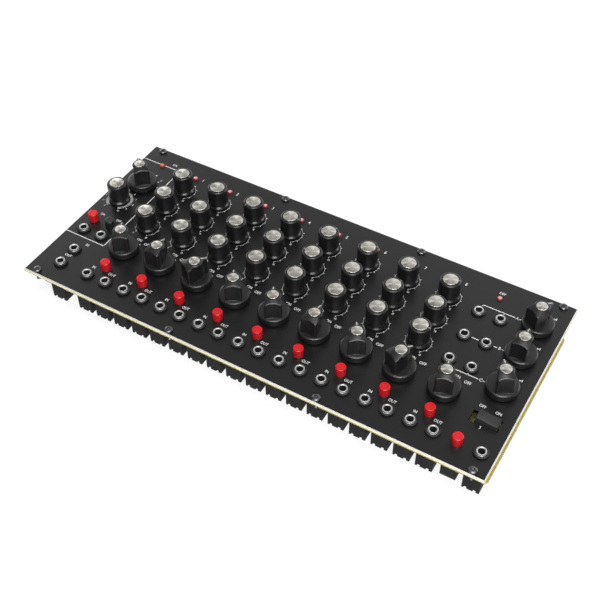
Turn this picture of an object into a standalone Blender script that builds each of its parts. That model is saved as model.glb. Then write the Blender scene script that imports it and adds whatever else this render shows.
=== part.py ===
"""An analogue step sequencer module for a rack.

A black aluminium panel stands in front of a control board. The board carries eight columns of step knobs
with a mode knob, a set button and two jack sockets each, a ninth mode column, an oscillator section on the
left and an output section on the right. Knobs turn, buttons press and the rocker tips.

Lengths are in metres: +X runs across the panel to the right, +Y up the panel and +Z out of its face. The
origin lies in the middle of the panel's outline, on the plane of the jack lugs that the module rests on.
"""

import math

import bmesh
import bpy
from mathutils import Matrix

# Allowances between pieces
SEAT_GAP = 0.0003
RUNNING_GAP = 0.0003
CUT_OVERRUN = 0.001
MERGE_DISTANCE = 0.00001

# Panel and the grid of its controls
COLUMNS = 8
COLUMN_SPACING = 0.0254
LEFT_SECTION_WIDTH = 0.0408
RIGHT_SECTION_WIDTH = 0.0402
PANEL_WIDTH = LEFT_SECTION_WIDTH + COLUMNS * COLUMN_SPACING + RIGHT_SECTION_WIDTH
PANEL_HEIGHT = 0.1285
PANEL_THICKNESS = 0.002
PANEL_EDGE_CHAMFER = 0.0006
RAIL_HOLE_RADIUS = 0.0017
RAIL_HOLE_INSET = 0.003
RAIL_HOLE_SHARES = (0.0264, 0.348, 0.6699, 0.9736)

# Heights of the rows up the panel, as shares of its height
JACK_ROW_SHARE = 0.1113
SET_ROW_SHARE = 0.1844
MODE_ROW_SHARE = 0.3144
STEP_ROW_SHARES = (0.7883, 0.6412, 0.4942)
LAMP_ROW_SHARE = 0.886

# Oscillator section: shares of the left section's width and of the panel's height
FREQUENCY_RANGE_SHARES = (0.380, 0.7222)
VERNIER_SHARES = (0.284, 0.5805)
OSCILLATOR_SWITCH_SHARES = ((0.2206, 0.4113), (0.5245, 0.4113))
OSCILLATOR_JACK_SHARES = ((0.2218, 0.337), (0.5331, 0.337))
CONTROL_INPUT_SHARES = (0.375, 0.207)
OSCILLATOR_OUTPUT_SHARES = (0.375, JACK_ROW_SHARE)
OSCILLATOR_LAMP_SHARES = (0.375, LAMP_ROW_SHARE)

# Output section: shares of the right section's width and of the panel's height
OUTPUT_RANGE_SHARES = ((0.634, 0.8132), (0.634, 0.6249), (0.634, 0.4319))
OUTPUT_JACK_ROW_SHARES = (0.772, 0.621, 0.473)
ROCKER_SHARES = (0.664, 0.2584)
SHIFT_SWITCH_SHARES = (0.480, JACK_ROW_SHARE)
SHIFT_JACK_SHARES = (0.7985, JACK_ROW_SHARE)

# Control board, behind the panel
BOARD_GAP = 0.010
BOARD_THICKNESS = 0.0016
BOARD_INSET_LEFT = 0.0048
BOARD_INSET_RIGHT = 0.0003
BOARD_MARGIN_BELOW_JACKS = 0.00012
BOARD_MARGIN_ABOVE_LAMPS = 0.00195
BOARD_CORNER_RADIUS = 0.0025
BOARD_CORNER_SEGMENTS = 3

# Jack socket: housing with lugs behind, barrel through the panel, collar in front
JACK_HOUSING_WIDTH = 0.0096
JACK_HOUSING_LENGTH = 0.0113
JACK_HOUSING_HEIGHT = 0.0201
JACK_HOUSING_BELOW_SHARE = 0.6
JACK_LUG_LENGTH = 0.0016
JACK_LUG_EDGE_SHARES = (0.0, 0.124, 0.289, 0.639, 0.814, 1.0)
JACK_BARREL_RADIUS = 0.00295
JACK_COLLAR_RADIUS = 0.0041
JACK_COLLAR_RISE = 0.002
JACK_BORE_RADIUS = 0.0018
JACK_BORE_DEPTH = 0.012

# Potentiometer and rotary switch bodies on the board
POT_WIDTH = 0.010
POT_LENGTH = 0.011
POT_HEIGHT = 0.0068
SHAFT_RADIUS = 0.003
SHAFT_ENGAGEMENT = 0.003

# Step knob, also used for the vernier
KNOB_LIFT = 0.0005
STEP_KNOB_HEIGHT = 0.0139
STEP_KNOB_RADIUS = 0.006
STEP_KNOB_BODY_HEIGHT = 0.0032
STEP_KNOB_GROOVE_RADIUS = 0.0054
STEP_KNOB_GROOVE_HEIGHT = 0.0025
STEP_KNOB_FOOT_RADIUS = 0.0062
STEP_KNOB_FOOT_HEIGHT = 0.00145
STEP_KNOB_SHOULDER = 0.001

# Skirted pointer knob, for the modes and ranges
SKIRT_RADIUS = 0.00885
SKIRT_HEIGHT = 0.005
SKIRT_ROUNDING = 0.0004
GRIP_RADIUS = 0.0081
GRIP_HEAD_RADIUS = 0.0041
GRIP_HEAD_DROP = 0.0003
GRIP_HEAD_SLOPE = math.radians(20)
MODE_KNOB_HEIGHT = 0.0171
MODE_KNOB_CAP_RADIUS = 0.0033

# Push-buttons and their switch bodies
BUTTON_RADIUS = 0.003
BUTTON_HEIGHT = 0.0055
BUTTON_ROUNDING = 0.0005
BUTTON_TRAVEL = 0.0015
BUTTON_TAIL = 0.0015
STEM_RADIUS = 0.0014
STEM_LENGTH = 0.005
SWITCH_SIDE = 0.0087
SWITCH_DEPTH_BEHIND_BOARD = 0.0088
SWITCH_PLUNGER_OFFSET = 0.00195

# Rocker key, its cradle and the panel's cut-out
ROCKER_KEY_LENGTH = 0.0117
ROCKER_KEY_WIDTH = 0.0062
ROCKER_KEY_RISE = 0.0035
ROCKER_KEY_DISH = 0.0005
ROCKER_KEY_DEPTH = 0.0045
ROCKER_KEY_FOOT_SHARE = 0.55
ROCKER_PIVOT_DEPTH = 0.0045
ROCKER_PIN_RADIUS = 0.0008
ROCKER_NOTCH_SEGMENTS = 6
ROCKER_TILT = math.radians(6)
ROCKER_CUTOUT_LENGTH = 0.017
ROCKER_CUTOUT_MARGIN = 0.0006
CRADLE_WALL = 0.0009
CRADLE_FLOOR = 0.002
CRADLE_LENGTH = 0.0125

# Lamps
LAMP_RADIUS = 0.0015
LAMP_RISE = 0.0011
LAMP_DOME_SHARE = 0.6

# Power header on the board's back
HEADER_PITCH = 0.00254
HEADER_COLUMNS = 5
HEADER_ROWS = 2
HEADER_BASE_HEIGHT = 0.0025
HEADER_PIN_LENGTH = 0.006
HEADER_PIN_WIDTH = 0.00064
HEADER_SHARES = (0.5, 0.78)

# Facets of the round pieces
STEP_KNOB_SIDES = 10
MODE_KNOB_SIDES = 12
FITTING_SIDES = 8
SOCKET_SIDES = 6
SHARP_EDGE_ANGLE = math.radians(35)

# Where the pointers stand in degrees clockwise from upright, by row from the top and by column
STEP_KNOB_ANGLES = (
    (90, -150, -150, 90, 30, 60, 5, 70),
    (110, -150, -130, -120, -90, -30, 30, 0),
    (90, 20, 50, 0, -30, 0, 20, 90),
)
MODE_KNOB_ANGLES = (-30, 0, 30, -30, -30, 0, -30, 30, -15)
OUTPUT_RANGE_ANGLES = (30, 0, -30)
FREQUENCY_RANGE_ANGLE = -45
VERNIER_ANGLE = 0

# Half of the grip's outline: degrees from the pointer, and the corner's share of the grip's radius.
# A narrow nib, a hollow side that the fingertips press, a ridge at the rear and the middle of the back.
GRIP_CORNER_SHARES = (
    (3.5, 0.93),
    (20, 0.57),
    (65, 0.45),
    (112, 0.53),
    (133, 0.72),
    (145, 1.0),
    (180, 0.78),
)

# Levels up from the lugs, and outlines worked out from the sizes above
PANEL_BACK = JACK_LUG_LENGTH + JACK_HOUSING_HEIGHT + SEAT_GAP
PANEL_FRONT = PANEL_BACK + PANEL_THICKNESS
BOARD_FRONT = PANEL_BACK - BOARD_GAP
BOARD_BACK = BOARD_FRONT - BOARD_THICKNESS
BOARD_MIDDLE = (BOARD_FRONT + BOARD_BACK) / 2
JACK_HOUSING_TOP = PANEL_BACK - SEAT_GAP
POT_TOP = BOARD_FRONT + POT_HEIGHT
SHAFT_END = POT_TOP - SHAFT_ENGAGEMENT
SOCKET_FLOOR = SHAFT_END - RUNNING_GAP
BUTTON_UNDERSIDE = PANEL_BACK - BUTTON_TAIL
STEM_END = BUTTON_UNDERSIDE - STEM_LENGTH
SWITCH_TOP = BUTTON_UNDERSIDE - BUTTON_TRAVEL - RUNNING_GAP
SWITCH_BOTTOM = BOARD_BACK - SWITCH_DEPTH_BEHIND_BOARD
ROCKER_PIVOT = PANEL_BACK - ROCKER_PIVOT_DEPTH
LEFT_EDGE = -PANEL_WIDTH / 2
LOWER_EDGE = -PANEL_HEIGHT / 2
FIRST_COLUMN = LEFT_EDGE + LEFT_SECTION_WIDTH
LAST_COLUMN = FIRST_COLUMN + COLUMNS * COLUMN_SPACING


def row_height(share):
    """Returns the Y of a row, given as a share of the panel's height."""
    return LOWER_EDGE + share * PANEL_HEIGHT


def column_place(column, row_share):
    """Returns the place where a column, counted from 0, crosses a row."""
    return FIRST_COLUMN + column * COLUMN_SPACING, row_height(row_share)


def left_place(shares):
    """Returns a place in the oscillator section."""
    return LEFT_EDGE + shares[0] * LEFT_SECTION_WIDTH, row_height(shares[1])


def right_place(shares):
    """Returns a place in the output section."""
    return LAST_COLUMN + shares[0] * RIGHT_SECTION_WIDTH, row_height(shares[1])


def jack_pair(row_share, column):
    """Returns the places of the two sockets that stand either side of a column."""
    x, y = column_place(column, row_share)
    return [(x - COLUMN_SPACING / 4, y), (x + COLUMN_SPACING / 4, y)]


def clear_radius(radius, gap, sides):
    """Returns the corner radius of a faceted hole whose flats stay a gap away from a round piece."""
    return (radius + gap) / math.cos(math.pi / sides)


STEP_KNOB_PLACES = [
    [column_place(column, share) for column in range(COLUMNS)] for share in STEP_ROW_SHARES
]
MODE_KNOB_PLACES = [column_place(column, MODE_ROW_SHARE) for column in range(COLUMNS + 1)]
SET_BUTTON_PLACES = [column_place(column, SET_ROW_SHARE) for column in range(COLUMNS + 1)]
STEP_LAMP_PLACES = [column_place(column, LAMP_ROW_SHARE) for column in range(COLUMNS)]
IDLE_LAMP_PLACE = column_place(COLUMNS, LAMP_ROW_SHARE)
OSCILLATOR_LAMP_PLACE = left_place(OSCILLATOR_LAMP_SHARES)
OUTPUT_RANGE_PLACES = [right_place(shares) for shares in OUTPUT_RANGE_SHARES]
FREQUENCY_RANGE_PLACE = left_place(FREQUENCY_RANGE_SHARES)
VERNIER_PLACE = left_place(VERNIER_SHARES)
OSCILLATOR_SWITCH_PLACES = [left_place(shares) for shares in OSCILLATOR_SWITCH_SHARES]
SHIFT_SWITCH_PLACE = right_place(SHIFT_SWITCH_SHARES)
ROCKER_PLACE = right_place(ROCKER_SHARES)
HEADER_PLACE = (LEFT_EDGE + HEADER_SHARES[0] * PANEL_WIDTH, row_height(HEADER_SHARES[1]))

SINGLE_JACKS = {
    "control_input_jack": left_place(CONTROL_INPUT_SHARES),
    "oscillator_output_jack": left_place(OSCILLATOR_OUTPUT_SHARES),
    "shift_jack": right_place(SHIFT_JACK_SHARES),
}
BOARD_JACK_PLACES = (
    [place for column in range(COLUMNS + 1) for place in jack_pair(JACK_ROW_SHARE, column)]
    + [place for share in OUTPUT_JACK_ROW_SHARES for place in jack_pair(share, COLUMNS)]
    + [left_place(shares) for shares in OSCILLATOR_JACK_SHARES]
)
KNOB_PLACES = (
    [place for row in STEP_KNOB_PLACES for place in row]
    + MODE_KNOB_PLACES
    + OUTPUT_RANGE_PLACES
    + [FREQUENCY_RANGE_PLACE, VERNIER_PLACE]
)
BUTTON_PLACES = SET_BUTTON_PLACES + OSCILLATOR_SWITCH_PLACES + [SHIFT_SWITCH_PLACE]
LAMP_PLACES = STEP_LAMP_PLACES + [IDLE_LAMP_PLACE, OSCILLATOR_LAMP_PLACE]


def clear_scene():
    """Removes every object of the scene."""
    for piece in list(bpy.data.objects):
        bpy.data.objects.remove(piece)


def finish(name, colour, roughness, metallic=0.0):
    """Returns a material with one plain surface."""
    material = bpy.data.materials.new(name)
    material.use_nodes = True
    surface = material.node_tree.nodes["Principled BSDF"]
    surface.inputs["Base Color"].default_value = (*colour, 1.0)
    surface.inputs["Roughness"].default_value = roughness
    surface.inputs["Metallic"].default_value = metallic
    return material


def add_turned(shape, profile, sides, place=(0.0, 0.0)):
    """Adds a solid turned about a vertical axis and returns the flat faces that close its ends.

    The profile's (radius, z) points run up its outline.
    """
    points = [shape.verts.new((place[0], place[1] + radius, z)) for radius, z in profile]
    edges = [shape.edges.new(pair) for pair in zip(points, points[1:])]
    bmesh.ops.spin(
        shape,
        geom=points + edges,
        cent=(place[0], place[1], 0.0),
        axis=(0.0, 0.0, 1.0),
        angle=math.tau,
        steps=sides,
        use_merge=True,
    )
    rims = [edge for edge in shape.edges if edge.is_boundary]
    return bmesh.ops.holes_fill(shape, edges=rims, sides=sides)["faces"]


def add_block(shape, low, high):
    """Adds a rectangular block between two opposite corners and returns its vertices."""
    size = [top - bottom for bottom, top in zip(low, high)]
    middle = [(top + bottom) / 2 for bottom, top in zip(low, high)]
    matrix = Matrix.Translation(middle) @ Matrix.Diagonal((*size, 1.0))
    return bmesh.ops.create_cube(shape, size=1.0, matrix=matrix)["verts"]


def add_prism(shape, outline, travel):
    """Adds a flat outline pushed along a vector."""
    face = shape.faces.new([shape.verts.new(point) for point in outline])
    pushed = bmesh.ops.extrude_face_region(shape, geom=[face])["geom"]
    corners = [item for item in pushed if isinstance(item, bmesh.types.BMVert)]
    bmesh.ops.translate(shape, verts=corners, vec=travel)


def mesh_of(name, shape, material=None):
    """Turns the shape into a mesh with its faces pointing out and its round walls shaded smooth."""
    bmesh.ops.recalc_face_normals(shape, faces=shape.faces)
    mesh = bpy.data.meshes.new(name)
    shape.to_mesh(mesh)
    shape.free()
    mesh.shade_smooth()
    mesh.set_sharp_from_angle(angle=SHARP_EDGE_ANGLE)
    if material:
        mesh.materials.append(material)
    return mesh


def add_object(name, mesh, place=(0.0, 0.0, 0.0), pointer=0.0):
    """Adds an object for the mesh, turned clockwise by the pointer's angle in degrees."""
    piece = bpy.data.objects.new(name, mesh)
    piece.location = place
    piece.rotation_euler.z = -math.radians(pointer)
    bpy.context.scene.collection.objects.link(piece)
    return piece


def combine(piece, shape, operation):
    """Joins the shape to a piece, or cuts it out, and keeps it as a hidden guide."""
    name = f"{piece.name}_{operation.lower()}_{len(piece.modifiers) + 1}"
    guide = add_object(name, mesh_of(name, shape))
    guide.hide_render = True
    guide.display_type = "WIRE"
    modifier = piece.modifiers.new(name, "BOOLEAN")
    modifier.operation = operation
    modifier.solver = "EXACT"
    modifier.object = guide


def add_jack_housing(shape, place):
    """Adds a socket's housing, whose back end is notched into three lugs."""
    left = place[0] - JACK_HOUSING_WIDTH / 2
    front = place[1] - JACK_HOUSING_BELOW_SHARE * JACK_HOUSING_LENGTH
    edges = [left + share * JACK_HOUSING_WIDTH for share in JACK_LUG_EDGE_SHARES]
    lugs = []
    for start, end in zip(edges[::2], edges[1::2]):
        lugs += [(start, JACK_LUG_LENGTH), (start, 0.0), (end, 0.0), (end, JACK_LUG_LENGTH)]
    outline = [(edges[0], JACK_HOUSING_TOP), *lugs[1:-1], (edges[-1], JACK_HOUSING_TOP)]
    add_prism(shape, [(x, front, z) for x, z in outline], (0.0, JACK_HOUSING_LENGTH, 0.0))


def add_jack_barrel(shape, place):
    """Adds a socket's barrel, which passes through the panel and ends in a collar over it."""
    seat = PANEL_FRONT + SEAT_GAP
    top = PANEL_FRONT + JACK_COLLAR_RISE
    profile = (
        (JACK_BARREL_RADIUS, BOARD_MIDDLE),
        (JACK_BARREL_RADIUS, seat),
        (JACK_COLLAR_RADIUS, seat),
        (JACK_COLLAR_RADIUS, top),
    )
    add_turned(shape, profile, FITTING_SIDES, place)


def add_jack_bore(shape, place):
    """Adds the hole that a plug goes into."""
    top = PANEL_FRONT + JACK_COLLAR_RISE
    profile = ((JACK_BORE_RADIUS, top - JACK_BORE_DEPTH), (JACK_BORE_RADIUS, top + CUT_OVERRUN))
    add_turned(shape, profile, FITTING_SIDES, place)


def add_pot_body(shape, place):
    """Adds the body of a potentiometer or rotary switch, seated in the board."""
    low = (place[0] - POT_WIDTH / 2, place[1] - POT_LENGTH / 2, BOARD_MIDDLE)
    high = (place[0] + POT_WIDTH / 2, place[1] + POT_LENGTH / 2, POT_TOP)
    add_block(shape, low, high)


def add_shaft_socket(shape, place):
    """Adds the hole in a pot body that a knob's shaft turns in."""
    radius = clear_radius(SHAFT_RADIUS, RUNNING_GAP, SOCKET_SIDES)
    profile = ((radius, SOCKET_FLOOR), (radius, POT_TOP + CUT_OVERRUN))
    add_turned(shape, profile, SOCKET_SIDES, place)


def add_switch_body(shape, place, toward):
    """Adds a push-switch body, which reaches further from its plunger on the side it points to."""
    low_side = place[1] - SWITCH_SIDE / 2 + toward * SWITCH_PLUNGER_OFFSET
    low = (place[0] - SWITCH_SIDE / 2, low_side, SWITCH_BOTTOM)
    high = (place[0] + SWITCH_SIDE / 2, low_side + SWITCH_SIDE, SWITCH_TOP)
    add_block(shape, low, high)


def add_stem_socket(shape, place):
    """Adds the hole in a switch body that a button's stem slides in."""
    radius = clear_radius(STEM_RADIUS, RUNNING_GAP, FITTING_SIDES)
    floor = STEM_END - BUTTON_TRAVEL - RUNNING_GAP
    add_turned(shape, ((radius, floor), (radius, SWITCH_TOP + CUT_OVERRUN)), FITTING_SIDES, place)


def add_lamp(shape, place, foot):
    """Adds a lamp, from its foot at the board to its dome in front of the panel."""
    top = PANEL_FRONT + LAMP_RISE
    shoulder = top - LAMP_RADIUS * LAMP_DOME_SHARE
    profile = (
        (LAMP_RADIUS, foot),
        (LAMP_RADIUS, shoulder),
        (LAMP_RADIUS * LAMP_DOME_SHARE, top),
    )
    add_turned(shape, profile, SOCKET_SIDES, place)


def add_panel_hole(shape, place, radius, gap, sides):
    """Adds a round hole through the panel, a gap larger than what passes through it."""
    corner = clear_radius(radius, gap, sides)
    profile = ((corner, PANEL_BACK - CUT_OVERRUN), (corner, PANEL_FRONT + CUT_OVERRUN))
    add_turned(shape, profile, sides, place)


def make_panel(material):
    """Makes the front panel, chamfered round its face and pierced for everything that it holds."""
    shape = bmesh.new()
    low = (LEFT_EDGE, LOWER_EDGE, PANEL_BACK)
    high = (-LEFT_EDGE, -LOWER_EDGE, PANEL_FRONT)
    corners = add_block(shape, low, high)
    face_corners = {vert for vert in corners if vert.co.z > (PANEL_BACK + PANEL_FRONT) / 2}
    face_edges = [edge for edge in shape.edges if set(edge.verts) <= face_corners]
    bmesh.ops.bevel(
        shape, geom=face_edges, offset=PANEL_EDGE_CHAMFER, segments=1, profile=0.5, affect="EDGES"
    )
    panel = add_object("front_panel", mesh_of("front_panel", shape, material))

    holes = bmesh.new()
    for place in BOARD_JACK_PLACES + list(SINGLE_JACKS.values()):
        add_panel_hole(holes, place, JACK_BARREL_RADIUS, SEAT_GAP, FITTING_SIDES)
    for place in KNOB_PLACES:
        add_panel_hole(holes, place, SHAFT_RADIUS, RUNNING_GAP, SOCKET_SIDES)
    for place in BUTTON_PLACES:
        add_panel_hole(holes, place, BUTTON_RADIUS, RUNNING_GAP, FITTING_SIDES)
    for place in LAMP_PLACES:
        add_panel_hole(holes, place, LAMP_RADIUS, SEAT_GAP, SOCKET_SIDES)
    for share in RAIL_HOLE_SHARES:
        for side in (-1, 1):
            place = (LEFT_EDGE + share * PANEL_WIDTH, side * (LOWER_EDGE + RAIL_HOLE_INSET))
            add_panel_hole(holes, place, RAIL_HOLE_RADIUS, 0.0, FITTING_SIDES)
    half_length = ROCKER_CUTOUT_LENGTH / 2
    half_width = ROCKER_KEY_WIDTH / 2 + ROCKER_CUTOUT_MARGIN
    x, y = ROCKER_PLACE
    low = (x - half_length, y - half_width, PANEL_BACK - CUT_OVERRUN)
    high = (x + half_length, y + half_width, PANEL_FRONT + CUT_OVERRUN)
    add_block(holes, low, high)
    combine(panel, holes, "DIFFERENCE")


def make_board(material):
    """Makes the control board with the sockets, pot bodies, switch bodies and step lamps it carries."""
    shape = bmesh.new()
    jacks_reach = row_height(JACK_ROW_SHARE) - JACK_HOUSING_BELOW_SHARE * JACK_HOUSING_LENGTH
    lower = jacks_reach - BOARD_MARGIN_BELOW_JACKS
    upper = row_height(LAMP_ROW_SHARE) + BOARD_MARGIN_ABOVE_LAMPS
    low = (LEFT_EDGE + BOARD_INSET_LEFT, lower, BOARD_BACK)
    high = (-LEFT_EDGE - BOARD_INSET_RIGHT, upper, BOARD_FRONT)
    add_block(shape, low, high)
    upright = [edge for edge in shape.edges if edge.verts[0].co.xy == edge.verts[1].co.xy]
    bmesh.ops.bevel(
        shape,
        geom=upright,
        offset=BOARD_CORNER_RADIUS,
        segments=BOARD_CORNER_SEGMENTS,
        profile=0.5,
        affect="EDGES",
    )
    board = add_object("control_board", mesh_of("control_board", shape, material))

    housings = bmesh.new()
    barrels = bmesh.new()
    bodies = bmesh.new()
    sockets = bmesh.new()
    for place in BOARD_JACK_PLACES:
        add_jack_housing(housings, place)
        add_jack_barrel(barrels, place)
        add_jack_bore(sockets, place)
    for place in KNOB_PLACES:
        add_pot_body(bodies, place)
        add_shaft_socket(sockets, place)
    for place in BUTTON_PLACES:
        add_switch_body(bodies, place, -1 if place == SHIFT_SWITCH_PLACE else 1)
        add_stem_socket(sockets, place)
    for place in STEP_LAMP_PLACES:
        add_lamp(bodies, place, BOARD_MIDDLE)
    for x, y in SINGLE_JACKS.values():
        left = x - JACK_HOUSING_WIDTH / 2 - SEAT_GAP
        front = y - JACK_HOUSING_BELOW_SHARE * JACK_HOUSING_LENGTH - SEAT_GAP
        low = (left, front, BOARD_BACK - CUT_OVERRUN)
        across = JACK_HOUSING_WIDTH + 2 * SEAT_GAP
        along = JACK_HOUSING_LENGTH + 2 * SEAT_GAP
        add_block(sockets, low, (left + across, front + along, BOARD_FRONT + CUT_OVERRUN))
    combine(board, housings, "UNION")
    combine(board, barrels, "UNION")
    combine(board, bodies, "UNION")
    combine(board, sockets, "DIFFERENCE")


def make_single_jack(name, place, material):
    """Makes a socket that stands in its own opening of the board."""
    housing = bmesh.new()
    add_jack_housing(housing, place)
    jack = add_object(name, mesh_of(name, housing, material))
    barrel = bmesh.new()
    add_jack_barrel(barrel, place)
    combine(jack, barrel, "UNION")
    bore = bmesh.new()
    add_jack_bore(bore, place)
    combine(jack, bore, "DIFFERENCE")


def add_knob(shape, profile, sides):
    """Adds a turned knob, joined underneath to the shaft that it turns, and returns its top face."""
    underside = PANEL_FRONT + KNOB_LIFT
    shaft = ((SHAFT_RADIUS, SHAFT_END), (SHAFT_RADIUS, underside))
    ends = add_turned(shape, profile, sides) + add_turned(shape, shaft, SOCKET_SIDES)
    joined = [face for face in ends if abs(face.calc_center_median().z - underside) < MERGE_DISTANCE]
    loops = list({edge for face in joined for edge in face.edges})
    crown = max(ends, key=lambda face: face.calc_center_median().z)
    bmesh.ops.delete(shape, geom=joined, context="FACES_ONLY")
    bmesh.ops.bridge_loops(shape, edges=loops)
    return crown


def step_knob_mesh(material):
    """Returns the round knob: a foot, a groove over it and a straight body, its axis on the origin."""
    top = PANEL_FRONT + STEP_KNOB_HEIGHT
    profile = (
        (STEP_KNOB_FOOT_RADIUS, PANEL_FRONT + KNOB_LIFT),
        (STEP_KNOB_FOOT_RADIUS, PANEL_FRONT + STEP_KNOB_FOOT_HEIGHT),
        (STEP_KNOB_GROOVE_RADIUS, PANEL_FRONT + STEP_KNOB_GROOVE_HEIGHT),
        (STEP_KNOB_RADIUS, PANEL_FRONT + STEP_KNOB_BODY_HEIGHT),
        (STEP_KNOB_RADIUS, top - STEP_KNOB_SHOULDER),
        (STEP_KNOB_RADIUS - STEP_KNOB_SHOULDER, top),
    )
    shape = bmesh.new()
    add_knob(shape, profile, STEP_KNOB_SIDES)
    return mesh_of("step_knob", shape, material)


def add_grip_ring(shape, radius_and_height):
    """Adds a ring of edges round the grip and returns it.

    The function gives the radius and z of a corner from the radius of the grip's outline there.
    """
    half = [(math.radians(angle), share * GRIP_RADIUS) for angle, share in GRIP_CORNER_SHARES]
    verts = []
    for angle, outline_radius in half + [(-angle, radius) for angle, radius in half[-2::-1]]:
        radius, z = radius_and_height(outline_radius)
        verts.append(shape.verts.new((radius * math.sin(angle), radius * math.cos(angle), z)))
    return [shape.edges.new(pair) for pair in zip(verts, verts[1:] + verts[:1])]


def mode_knob_mesh(material):
    """Returns the skirted knob, upright: a three-cornered grip with a nib, over a round skirt."""
    top = PANEL_FRONT + MODE_KNOB_HEIGHT
    seat = PANEL_FRONT + SKIRT_HEIGHT
    profile = (
        (SKIRT_RADIUS, PANEL_FRONT + KNOB_LIFT),
        (SKIRT_RADIUS, seat - SKIRT_ROUNDING),
        (SKIRT_RADIUS - SKIRT_ROUNDING, seat),
    )
    shape = bmesh.new()
    crown = add_knob(shape, profile, MODE_KNOB_SIDES)
    rim = list(crown.edges)
    bmesh.ops.delete(shape, geom=[crown], context="FACES_ONLY")

    def head_corner(outline_radius):
        """Returns where the wall meets the head, which slopes down away from the cap."""
        radius = max(outline_radius, GRIP_HEAD_RADIUS)
        fall = (radius - GRIP_HEAD_RADIUS) * math.tan(GRIP_HEAD_SLOPE)
        return radius, top - GRIP_HEAD_DROP - fall

    foot = add_grip_ring(shape, lambda outline_radius: (outline_radius, seat))
    head = add_grip_ring(shape, head_corner)
    cap = add_grip_ring(shape, lambda outline_radius: (MODE_KNOB_CAP_RADIUS, top))
    bmesh.ops.triangle_fill(shape, edges=rim + foot, use_beauty=True, normal=(0.0, 0.0, 1.0))
    bmesh.ops.bridge_loops(shape, edges=foot + head)
    bmesh.ops.bridge_loops(shape, edges=head + cap)
    bmesh.ops.holes_fill(shape, edges=cap, sides=len(cap))
    return mesh_of("mode_knob", shape, material)


def button_mesh(name, material):
    """Returns a push-button with its stem, its axis on the origin."""
    top = PANEL_FRONT + BUTTON_HEIGHT
    profile = (
        (STEM_RADIUS, STEM_END),
        (STEM_RADIUS, BUTTON_UNDERSIDE),
        (BUTTON_RADIUS, BUTTON_UNDERSIDE),
        (BUTTON_RADIUS, top - BUTTON_ROUNDING),
        (BUTTON_RADIUS - BUTTON_ROUNDING, top),
    )
    shape = bmesh.new()
    add_turned(shape, profile, FITTING_SIDES)
    return mesh_of(name, shape, material)


def make_knobs(material):
    """Makes every knob, with its origin on its axis and its pointer where it stands."""
    small = step_knob_mesh(material)
    for row, (places, angles) in enumerate(zip(STEP_KNOB_PLACES, STEP_KNOB_ANGLES), 1):
        for column, (place, angle) in enumerate(zip(places, angles), 1):
            add_object(f"step_knob_r{row}_c{column}", small, (*place, 0.0), angle)
    add_object("vernier_knob", small, (*VERNIER_PLACE, 0.0), VERNIER_ANGLE)

    skirted = mode_knob_mesh(material)
    for number, (place, angle) in enumerate(zip(MODE_KNOB_PLACES, MODE_KNOB_ANGLES), 1):
        add_object(f"mode_knob_{number}", skirted, (*place, 0.0), angle)
    for letter, place, angle in zip("abc", OUTPUT_RANGE_PLACES, OUTPUT_RANGE_ANGLES):
        add_object(f"output_range_knob_{letter}", skirted, (*place, 0.0), angle)
    place = (*FREQUENCY_RANGE_PLACE, 0.0)
    add_object("frequency_range_knob", skirted, place, FREQUENCY_RANGE_ANGLE)


def make_buttons(red, black):
    """Makes the push-buttons, with their origins on their axes."""
    red_button = button_mesh("red_button", red)
    for number, place in enumerate(SET_BUTTON_PLACES, 1):
        add_object(f"set_button_{number}", red_button, (*place, 0.0))
    on_place, off_place = OSCILLATOR_SWITCH_PLACES
    add_object("oscillator_on_button", red_button, (*on_place, 0.0))
    add_object("shift_button", red_button, (*SHIFT_SWITCH_PLACE, 0.0))
    add_object("oscillator_off_button", button_mesh("black_button", black), (*off_place, 0.0))


def make_rocker_key(material):
    """Makes the rocker's key about its pivot: a dished top over a foot that straddles the pin."""
    half = ROCKER_KEY_LENGTH / 2
    notch = ROCKER_PIN_RADIUS + RUNNING_GAP
    waist = PANEL_BACK - ROCKER_PIVOT
    top = PANEL_FRONT + ROCKER_KEY_RISE - ROCKER_PIVOT
    foot = waist - ROCKER_KEY_DEPTH - ROCKER_PIN_RADIUS
    half_foot = half * ROCKER_KEY_FOOT_SHARE
    outline = [(half_foot, foot), (half, waist), (half, top)]
    outline += [(0.0, top - ROCKER_KEY_DISH), (-half, top), (-half, waist), (-half_foot, foot)]
    outline.append((-notch, foot))
    for step in range(ROCKER_NOTCH_SEGMENTS + 1):
        angle = math.pi * (1 - step / ROCKER_NOTCH_SEGMENTS)
        outline.append((notch * math.cos(angle), notch * math.sin(angle)))
    outline.append((notch, foot))
    shape = bmesh.new()
    side = -ROCKER_KEY_WIDTH / 2
    add_prism(shape, [(x, side, z) for x, z in outline], (0.0, ROCKER_KEY_WIDTH, 0.0))
    key = add_object("rocker_key", mesh_of("rocker_key", shape, material), (*ROCKER_PLACE, ROCKER_PIVOT))
    key.rotation_euler.y = ROCKER_TILT


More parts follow.
